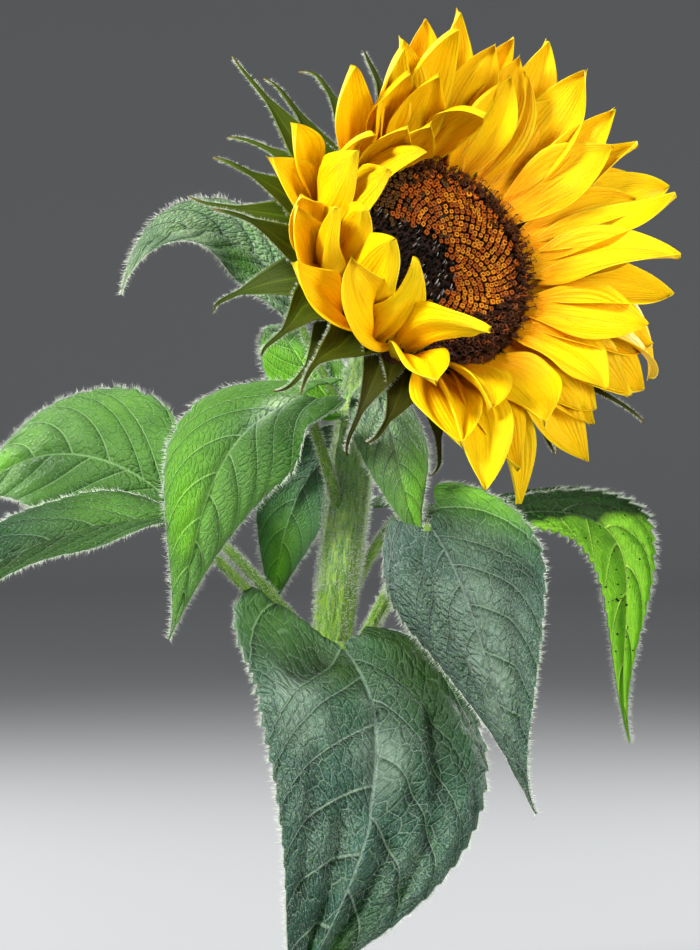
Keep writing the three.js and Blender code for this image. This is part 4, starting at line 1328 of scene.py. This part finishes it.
class SUNFLOWER_OT_involucre(Operator):
    """Builds the cup behind the disc and its green bracts"""

    bl_idname = "sunflower.involucre"
    bl_label = "Cup and Bracts"

    def execute(self, context):
        colours = colours_of(context)
        material = material_named("Bract and cup", bract_finish, colours)
        rng = np.random.default_rng(SEEDS["bracts"])
        for k, bract in enumerate(BRACTS):
            twist = rng.uniform(0, FULL_TURN)

            def point_at(t, s, side):
                keel = 0.5 * np.exp(-((s / 0.2) ** 2)) * (1 - t)
                wave = 0.3 * np.sin(9 * t + twist) * np.abs(s)
                lift = wave + 0.18 * np.cos(6 * np.pi * s) + side * BRACT_HALF
                lift = lift - (keel if side < 0 else 0.3 * keel)
                return bract_point(bract, t, s, lift)[0]

            points, faces, place, under = blade_shell(point_at, BRACT_GRID_ROWS, BRACT_GRID_COLS)
            # Painted light: the bracts on one side of the head are made lighter.
            sunny = max(0.0, math.cos(math.radians(bract[1] - SUNNY_ANGLE))) * np.array(SUNNY_TINT)
            tint = np.array(colours["bract"]) * rng.uniform(0.8, 1.25) * (1 + sunny)
            Shape().add(points, faces, tint, place, under).piece(f"bract_{k + 1}", material, "bract")
        self.add_cup(colours, material)
        return {"FINISHED"}

    def add_cup(self, colours, material):
        """The ribbed green cup that carries bracts and disc, brown at its rim."""
        profile = np.array([(0.5, -BACK_DEPTH), *CUP_PROFILE, (20, CUP_FRONT)])
        fine, run = np.linspace(0, 1, CUP_RINGS), np.linspace(0, 1, len(profile))
        rings = [*zip(*(np.interp(fine, run, column) for column in profile.T)), (0, CUP_FRONT)]
        points, faces = ring_template(rings, CUP_SIDES, CUP_RIB_RISE, CUP_RIBS)
        angle = np.tile(round_angles(CUP_SIDES), CUP_RINGS)
        place = np.stack([np.sin(angle * 4), np.repeat(fine, CUP_SIDES) * 0.6], -1)
        place = np.vstack([place, [[0, 0], [0, 0]]])
        tint = np.where(points[:, 2:] > RIM_BROWN, [colours["brown"]], [colours["bract"]])
        shape = Shape().add(from_head(points), faces, tint, place)
        shape.piece("cup_green", material, "bract", ["involucre"])


# Disc and florets

# The turn from each floret to the next, which makes the spiral rows.
GOLDEN_ANGLE = math.pi * (3 - math.sqrt(5))
DISC_RADIUS = 42.6
# The bed under the florets: its rings and sides, its lowest height, how far it is sunk, and its tint, a
# painted shade that darkens the gaps between the florets.
BED_RINGS, BED_SIDES = 26, 72
BED_FOOT = -0.7
BED_SUNK = 1.5
BED_TINT = (0.5, 0.5, 0.5)
# How far the feet of the florets are sunk, and how unevenly they stand.
FLORET_SUNK = 1.7
FLORET_TILT = 0.08
# The dark bristly middle lies off the axis and runs ragged to the head's inner side: places and reaches.
DARK_SPOTS = ((-10, -4, 19, 18), (-31, 2, 20, 19))
DARK_RAGGED = 0.07
# Florets are open outside this radius, and lower down on the disc from further in.
OPEN_FROM = 36
OPEN_LOWER = 10
# Brightness from which a knob is gold, and from which it is amber.
KNOB_TONES = (0.5, 0.92)
# Templates of a ripe knob, a bristle and an open floret: radius, height and lightness of each ring; the
# lightness is partly painted, a highlight on each rim and shade down the sides to the foot.
KNOB = (
    (0.66, 0, 0.1), (0.78, 1.0, 0.2), (1.08, 1.7, 0.6), (1.14, 2.3, 1.0), (0.9, 2.78, 1.35), (0.4, 2.42, 0.3),
    (0, 1.6, 0.05),
)
BRISTLE = ((0.36, 0, 1), (0.4, 1.1, 1), (0.22, 2.3, 1), (0, 3.2, 1))
OPEN_FLORET = (
    (0.6, 0, 0.2), (0.55, 2.0, 0.6), (0.8, 3.1, 1.4), (1.15, 3.7, 2.6), (0.6, 3.3, 0.8), (0.3, 2.4, 0.15),
    (0, 2.2, 0.1),
)
BRISTLES_PER_FLORET = 3
# Stigmas: the way from which angles round one are counted, its radius, and its rings and sides.
STYLE_START = np.array([0.21, 0.35, 0.9])
STYLE_RADIUS = 0.22
STYLE_RINGS, STYLE_SIDES = 9, 4
# Share of the stigmas that are gold, and how far a stigma curls round.
GOLD_STYLES = 0.22
STYLE_CURL = 4.4


def disc_height(radius):
    """Height of the disc's face at a radius."""
    return np.interp(radius, [r for r, _ in DISC_PROFILE[:6]], [z for _, z in DISC_PROFILE[:6]])


def style_skin(t, angle):
    """Radius of a stigma along its length."""
    return STYLE_RADIUS * (1.15 - 0.7 * t)


def floret_template(rings, sides, rib_rise=0.0):
    """A floret's points and faces, and the painted lightness of its points."""
    outline = [(radius, height) for radius, height, _ in rings]
    return ring_template(outline, sides, rib_rise), ring_levels([level for _, _, level in rings], sides)


class SUNFLOWER_OT_disc(Operator):
    """Builds the disc with its spiral rows of florets"""

    bl_idname = "sunflower.disc"
    bl_label = "Disc Florets"

    def execute(self, context):
        colours, sizes = colours_of(context), sizes_of(context)
        skins = {
            tone: material_named(f"Disc {tone}", floret_finish, colours[tone])
            for tone in ("gold", "amber", "umber", "brown", "centre", "glint")
        }
        rng = np.random.default_rng(SEEDS["disc"])
        self.add_bed(skins["brown"])

        count = sizes["florets"]
        index = np.arange(count) + 0.5
        radius = DISC_RADIUS * np.sqrt(index / count)
        angle = index * GOLDEN_ANGLE
        foot = disc_height(radius) - FLORET_SUNK
        base = np.stack([radius * np.cos(angle), radius * np.sin(angle), foot], -1)
        slope = disc_height(radius + 0.5) - disc_height(np.maximum(radius - 0.5, 0))
        out = np.stack([np.cos(angle), np.sin(angle), 0 * angle], -1)
        around = np.stack([-np.sin(angle), np.cos(angle), 0 * angle], -1)
        up = unit(np.array([0, 0, 1.0]) - out * slope[:, None] + rng.normal(0, FLORET_TILT, (count, 3)))
        side = unit(np.cross(around, up))
        frames = np.stack([side, np.cross(up, side), up], 1)
        scale = np.repeat(rng.uniform(0.84, 1.08, (count, 1)), 3, axis=1)
        scale[:, 2] *= rng.uniform(0.88, 1.14, count)

        # Bristles in the dark middle, open florets outside, and knobs between.
        x, y = base[:, 0], base[:, 1]
        away = [np.hypot((x - at_x) / wide, (y - at_y) / tall) for at_x, at_y, wide, tall in DARK_SPOTS]
        dark = np.minimum(*away) + rng.normal(0, DARK_RAGGED, count)
        bristles = dark < 1
        lower = np.clip(-np.sin(angle + 0.3), 0, 1)
        outer = (radius >= OPEN_FROM - OPEN_LOWER * lower) & ~bristles
        knobs = ~bristles & ~outer

        # Knobs are brightest beside the dark middle and dimmer towards the rim; towards one side of the disc
        # they are painted darker as shade.
        ripe = np.clip((dark - 0.95) / 0.3, 0, 1)
        # Painted shade: the knobs on the upper left of the disc are made darker.
        shaded = np.clip((-out[:, 0] * 0.8 + out[:, 1] * 0.45) * radius / 34, 0, 1)
        tired = np.clip((radius - 28) / 9, 0, 1)
        bright = (0.55 + 0.45 * ripe) * (1 - 0.86 * shaded) * (1 - 0.35 * tired)
        tones = np.digitize(bright * rng.uniform(0.6, 1.35, count), KNOB_TONES)
        knob, levels = floret_template(KNOB, 8, 0.1)
        for k, tone in enumerate(("umber", "gold", "amber")):
            ones = np.flatnonzero(knobs & (tones == k))
            tints = rng.uniform(0.75, 1.1, (len(ones), 1, 1)) * levels * np.ones(3)
            shape = placed_copies(knob, base[ones], frames[ones], scale[ones], tints)
            shape.piece(f"disc_knobs_{tone}", skins[tone], "disc")

        spike, levels = floret_template(BRISTLE, 5)
        ones = np.repeat(np.flatnonzero(bristles), BRISTLES_PER_FLORET)
        tall = np.repeat(rng.uniform(0.75, 1.25, (len(ones), 1)), 3, axis=1)
        feet = base[ones] + np.hstack([rng.uniform(-1.1, 1.1, (len(ones), 2)), np.zeros((len(ones), 1))])
        # Some bristles are pale, as painted glints.
        glinting = rng.random(len(ones)) < 0.05 + 0.25 * np.clip(dark[ones], 0, 1) ** 3
        for name, tone, chosen in (("bristles", "centre", ~glinting), ("glints", "glint", glinting)):
            tints = rng.uniform(0.5, 1.6, (chosen.sum(), 1, 1)) * levels * np.ones(3)
            shape = placed_copies(spike, feet[chosen], frames[ones][chosen], tall[chosen], tints)
            shape.piece(f"disc_{name}", skins[tone], "disc")

        tube, levels = floret_template(OPEN_FLORET, 9, 0.22)
        ones = np.flatnonzero(outer)
        tints = rng.uniform(0.5, 1.9, (len(ones), 1, 1)) * levels * np.ones(3)
        shape = placed_copies(tube, base[ones], frames[ones], scale[ones], tints)
        shape.piece("disc_open_florets", skins["brown"], "disc")
        chance = np.where(outer, 1.0, np.clip((radius - 27) / 12, 0, 0.6)) * ~bristles
        self.add_styles(base, up, out, around, chance, skins, rng)
        return {"FINISHED"}

    def add_bed(self, skin):
        """The ground between the florets."""
        radius = np.append(np.linspace(DISC_RADIUS, 0.5, BED_RINGS), 0)
        rings = [(DISC_RADIUS, BED_FOOT), *zip(radius, disc_height(radius) - BED_SUNK)]
        points, faces = ring_template(rings, BED_SIDES)
        Shape().add(from_head(points), faces, BED_TINT).piece("disc_bed", skin, "disc", ["disc"])

    def add_styles(self, base, up, out, around, chance, skins, rng):
        """Curled pairs of stigmas on the open florets and on some of the ripe ones."""
        shapes = {"brown": Shape(), "gold": Shape()}
        u = np.linspace(0, 1, STYLE_RINGS)[:, None]
        curl = np.clip((u - 0.35) / 0.65, 0, 1) * STYLE_CURL
        for k in np.flatnonzero(rng.random(len(base)) < chance):
            start = base[k] + up[k] * 2.6
            lean = unit(up[k] + out[k] * rng.uniform(-0.1, 0.8) + around[k] * rng.uniform(-0.5, 0.5))
            tall = rng.uniform(1.4, 3.8)
            turn = rng.uniform(0, 2 * np.pi)
            branch = unit(np.cross(lean, [math.cos(turn), math.sin(turn), 0.3]))
            wide = rng.uniform(0.5, 0.9)
            shape = shapes["gold" if rng.random() < GOLD_STYLES else "brown"]
            for hand in (-1, 1):
                line = start + lean * tall * np.minimum(u / 0.4, 1)
                line = line + branch * hand * (1 - np.cos(curl)) * wide + lean * np.sin(curl) * wide * 0.7
                add_limb(shape, from_head(line), style_skin, STYLE_START, STYLE_RINGS, STYLE_SIDES)
        for tone, shape in shapes.items():
            shape.piece(f"disc_styles_{tone}", skins[tone], "disc")


# Hairs

# Faces of a hair, whose first three points are its foot and whose last is its tip.
HAIR_FACES = np.array([(0, 1, 3), (1, 2, 3), (2, 0, 3), (2, 1, 0)])
# Hairs on the stem: how many, and from where to where along it.
STEM_HAIRS = ((17500, 0.03, 0.99), (7500, 0.62, 0.97))
# Hairs for each square millimetre of a stalk's length times its radius, how short they are beside
# those of the stem, and how far from the stem's axis they start.
STALK_HAIRS = 6.5
STALK_HAIR_SHARE = 0.85
STALK_HAIR_FROM = 8
# Hairs for each millimetre of a leaf's margin, and for each square millimetre of its two sides.
MARGIN_HAIRS = 15
SKIN_HAIRS = 0.17
SKIN_HAIR_LENGTH = 0.9
# Hairs for each millimetre of a bract, on its margin and on its back, and the length of the first.
FRINGE_HAIRS = 9
BACK_HAIRS = 5
FRINGE_LENGTH = 1.8


def add_hairs(shape, roots, aims, lengths, width):
    """Hairs as slim closed spikes; roots and aims are (n,3)."""
    aims = unit(aims)
    helper = np.where(np.abs(aims[:, 2:]) < 0.9, [[0.0, 0.0, 1.0]], [[1.0, 0.0, 0.0]])
    across = unit(np.cross(aims, helper))
    third = np.cross(aims, across)
    corner = [0, 2 * np.pi / 3, 4 * np.pi / 3]
    foot = [roots + (across * math.cos(a) + third * math.sin(a)) * width / 2 for a in corner]
    points = np.stack([*foot, roots + aims * lengths[:, None]], 1)
    n = len(roots)
    faces = (HAIR_FACES[None] + (np.arange(n) * 4)[:, None, None]).reshape(-1, 3)
    shape.add(points.reshape(-1, 3), faces)


def limb_hairs(shape, line, skin, start, count, t_low, t_high, length, width, rng):
    """Hairs that stand off a limb all round, between two shares of its length."""
    t = rng.uniform(t_low, t_high, count)
    angle = rng.uniform(0, 2 * np.pi, count)
    points, out, along = limb_points(line, t, angle, start, skin(t, angle) - 0.1)
    aims = out + along * rng.normal(0.1, 0.4, (count, 1)) + rng.normal(0, 0.3, (count, 3))
    add_hairs(shape, points, aims, rng.uniform(0.35, 1.2, count) * length, width)


def spread(way, along, lean, side, stray, rng):
    """Ways that hairs point: one way for each, leaning along by (mean, spread) and straying sideways."""
    count = len(along)
    return way + along * rng.normal(*lean, (count, 1)) + side * rng.normal(0, stray, (count, 1))


class SUNFLOWER_OT_hairs(Operator):
    """Grows the white hairs of stem, stalks, leaves and bracts"""

    bl_idname = "sunflower.hairs"
    bl_label = "White Hairs"

    def execute(self, context):
        colours, sizes = colours_of(context), sizes_of(context)
        material = material_named("White hairs", hair_finish, colours)
        rng = np.random.default_rng(SEEDS["hairs"])
        self.grow_on_limbs(sizes, material, rng)
        self.grow_on_leaves(sizes, material, rng)
        self.grow_on_bracts(sizes, material, rng)
        return {"FINISHED"}

    def grow_on_limbs(self, sizes, material, rng):
        """Hairs all round the stem, thicker near its top, and all round the stalks."""
        length, width = sizes["stem_hair"], sizes["hair_width"]
        shape = Shape()
        for count, low, high in STEM_HAIRS:
            limb_hairs(shape, STEM_LINE, stem_skin, STEM_START, count, low, high, length, width, rng)
        shape.piece("hairs_stem", material, "stem")
        length = length * STALK_HAIR_SHARE
        shape = Shape()
        for leaf in STALKED.values():
            line, skin = stalk_line(leaf), partial(stalk_skin, leaf)
            size = line_size(line)
            count = int(size * leaf["stalk"] * STALK_HAIRS)
            low = STALK_HAIR_FROM / size
            limb_hairs(shape, line, skin, STALK_START, count, low, 1, length, width, rng)
        shape.piece("hairs_stalks", material, "stem")

    def grow_on_leaves(self, sizes, material, rng):
        """A fringe along each leaf's margin, and fine down on both its sides."""
        width = sizes["hair_width"]
        fringe, fuzz = Shape(), Shape()
        for leaf in LEAVES.values():
            point_at, rib, form = make_leaf_point(leaf, sizes["vein_depth"])
            count = int(leaf["length"] * MARGIN_HAIRS)
            t, s = rng.uniform(0, 1, count), rng.choice([-1.0, 1.0], count)
            root = point_at(t, s * 0.995, 1)
            _, along, side, face = blade_point(rib, form, t, s, 0 * t)
            aims = spread(side * s[:, None], along, (0.35, 0.3), face, 0.45, rng)
            lengths = (0.25 + 0.95 * rng.random(count) ** 1.7) * sizes["leaf_hair"]
            add_hairs(fringe, root, aims, lengths, width)
            for way in (1, -1):
                count = int(leaf["length"] * leaf["width"] * leaf.get("down", SKIN_HAIRS))
                t, s = rng.uniform(0.02, 0.98, count), rng.uniform(-0.97, 0.97, count)
                root = point_at(t, s, way)
                _, along, side, face = blade_point(rib, form, t, s, 0 * t)
                aims = face * way + along * rng.normal(0.5, 0.4, (count, 1)) + rng.normal(0, 0.3, (count, 3))
                add_hairs(fuzz, root, aims, rng.uniform(0.3, 1.0, count) * SKIN_HAIR_LENGTH, width * 0.6)
        fringe.piece("hairs_leaf_margins", material, "leaf")
        fuzz.piece("hairs_leaf_skin", material, "leaf")

    def grow_on_bracts(self, sizes, material, rng):
        """A fringe along each bract's margin, and short hairs on its back."""
        width = sizes["hair_width"]
        shape = Shape()
        for bract in BRACTS:
            count = int(bract[5] * FRINGE_HAIRS)
            t, s = rng.uniform(0.02, 0.97, count), rng.choice([-1.0, 1.0], count)
            root, along, side, face = bract_point(bract, t, s * 0.98, 0 * t)
            aims = spread(side * s[:, None], along, (0.3, 0.3), face, 0.5, rng) @ HEAD_BASIS
            add_hairs(shape, root, aims, rng.uniform(0.4, 1.1, count) * FRINGE_LENGTH, width * 0.9)
            count = int(bract[5] * BACK_HAIRS)
            t, s = rng.uniform(0.02, 0.97, count), rng.uniform(-0.9, 0.9, count)
            root, along, side, face = bract_point(bract, t, s, 0 * t - 0.4)
            aims = spread(-face, along, (0.3, 0.3), side, 0.4, rng) @ HEAD_BASIS
            add_hairs(shape, root, aims, rng.uniform(0.4, 1.1, count), width * 0.7)
        shape.piece("hairs_bracts", material, "bract")


# Stage
CAMERA_PLACE = (0.016, -1.3, 0.254)
# The lens shows 380 mm of height at the stem, on a sensor 36 mm high, from 1300 mm away.
CAMERA_SENSOR = 36
CAMERA_LENS = 18 * 1300 / 190
# The paper floor runs level to this radius, then bends up all round to this height, in metres.
PAPER_LEVEL = 6.0
PAPER_BEND = 2.5
PAPER_SIDES = 96
PAPER_RINGS = 14
PAPER_FLAT_RINGS = (1.0, 3.0)
# Colour and strength of the studio's own light.
STUDIO_COLOUR = (0.62, 0.63, 0.65, 1)
STUDIO_STRENGTH = 0.5
# What the lamps point at, and each lamp's place, size in metres and power in watts.
LIGHT_TARGET = (0.02, -0.02, 0.26)
LIGHTS = {
    "key": ((-1.1, -1.3, 1.3), 0.45, 74),
    "fill": ((1.3, -1.4, 0.45), 0.9, 32),
    "rim_left": ((-1.2, 1.1, 0.9), 0.5, 34),
    "rim_right": ((1.2, 1.1, 1.0), 0.5, 34),
}


def add_light(name, place, size, power):
    """A round soft lamp that the camera does not see."""
    data = bpy.data.lights.new(name, "AREA")
    data.shape = "DISK"
    data.size = size
    data.energy = power
    lamp = bpy.data.objects.new(name, data)
    lamp.location = place
    lamp.visible_camera = False
    lamp.rotation_euler = (Vector(LIGHT_TARGET) - Vector(place)).to_track_quat("-Z", "Y").to_euler()
    bpy.context.scene.collection.objects.link(lamp)


class SUNFLOWER_OT_stage(Operator):
    """Sets up the camera, the paper floor and the studio light"""

    bl_idname = "sunflower.stage"
    bl_label = "Stage"

    def execute(self, context):
        colours = colours_of(context)
        scene = context.scene
        self.add_camera(scene)
        self.add_paper(scene, material_named("Studio paper", floor_finish, colours))
        world = bpy.data.worlds.new("Studio")
        world.use_nodes = True
        sky = next(n for n in world.node_tree.nodes if n.type == "BACKGROUND")
        sky.inputs[0].default_value = STUDIO_COLOUR
        sky.inputs[1].default_value = STUDIO_STRENGTH
        scene.world = world
        for name, lamp in LIGHTS.items():
            add_light(name, *lamp)
        scene.view_settings.view_transform = "Standard"
        scene.view_settings.look = "None"
        return {"FINISHED"}

    def add_camera(self, scene):
        """The camera that takes the photo's view."""
        data = bpy.data.cameras.new("camera")
        data.lens = CAMERA_LENS
        data.sensor_width = CAMERA_SENSOR
        data.sensor_fit = "AUTO"
        data.clip_end = 20
        camera = bpy.data.objects.new("camera", data)
        camera.location = CAMERA_PLACE
        camera.rotation_euler = (math.pi / 2, 0, 0)
        scene.collection.objects.link(camera)
        scene.camera = camera

    def add_paper(self, scene, material):
        """A round floor of paper that bends up all round."""
        turn = np.linspace(0, math.pi / 2, PAPER_RINGS)
        radius = np.concatenate([PAPER_FLAT_RINGS, PAPER_LEVEL + PAPER_BEND * np.sin(turn)])
        height = np.concatenate([[0.0, 0.0], PAPER_BEND * (1 - np.cos(turn))])
        angle = round_angles(PAPER_SIDES)
        points = [(r * math.cos(a), r * math.sin(a), z) for r, z in zip(radius, height) for a in angle]
        quads = [tuple(range(PAPER_SIDES))]
        for ring in range(len(radius) - 1):
            for k in range(PAPER_SIDES):
                a, b = ring * PAPER_SIDES + k, ring * PAPER_SIDES + (k + 1) % PAPER_SIDES
                quads.append((a, a + PAPER_SIDES, b + PAPER_SIDES, b))
        mesh = bpy.data.meshes.new("paper_sweep")
        mesh.from_pydata(points, [], quads)
        mesh.polygons.foreach_set("use_smooth", [True] * len(quads))
        mesh.materials.append(material)
        sweep = bpy.data.objects.new("paper_sweep", mesh)
        scene.collection.objects.link(sweep)


class SUNFLOWER_PT_panel(Panel):
    """Lists the steps that build the sunflower"""

    bl_idname = "SUNFLOWER_PT_panel"
    bl_label = "Dwarf Sunflower"
    bl_space_type = "VIEW_3D"
    bl_region_type = "UI"
    bl_category = "Sunflower"

    def draw(self, context):
        layout = self.layout
        for step in STEPS:
            layout.operator(step.bl_idname)
        for group in (context.scene.sunflower_sizes, context.scene.sunflower_colours):
            box = layout.box()
            for key in type(group).__annotations__:
                box.prop(group, key)


STEPS = (
    SUNFLOWER_OT_stage,
    SUNFLOWER_OT_stem,
    SUNFLOWER_OT_leaves,
    SUNFLOWER_OT_petals,
    SUNFLOWER_OT_involucre,
    SUNFLOWER_OT_disc,
    SUNFLOWER_OT_hairs,
)
CLASSES = (SunflowerColours, SunflowerSizes, *STEPS, SUNFLOWER_PT_panel)


def register():
    for cls in CLASSES:
        bpy.utils.register_class(cls)
    bpy.types.Scene.sunflower_colours = PointerProperty(type=SunflowerColours)
    bpy.types.Scene.sunflower_sizes = PointerProperty(type=SunflowerSizes)


def unregister():
    del bpy.types.Scene.sunflower_sizes
    del bpy.types.Scene.sunflower_colours
    for cls in reversed(CLASSES):
        bpy.utils.unregister_class(cls)


def main():
    """Builds all."""
    register()
    for step in STEPS:
        family, name = step.bl_idname.split(".")
        getattr(getattr(bpy.ops, family), name)()
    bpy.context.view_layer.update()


if __name__ == "__main__":
    main()
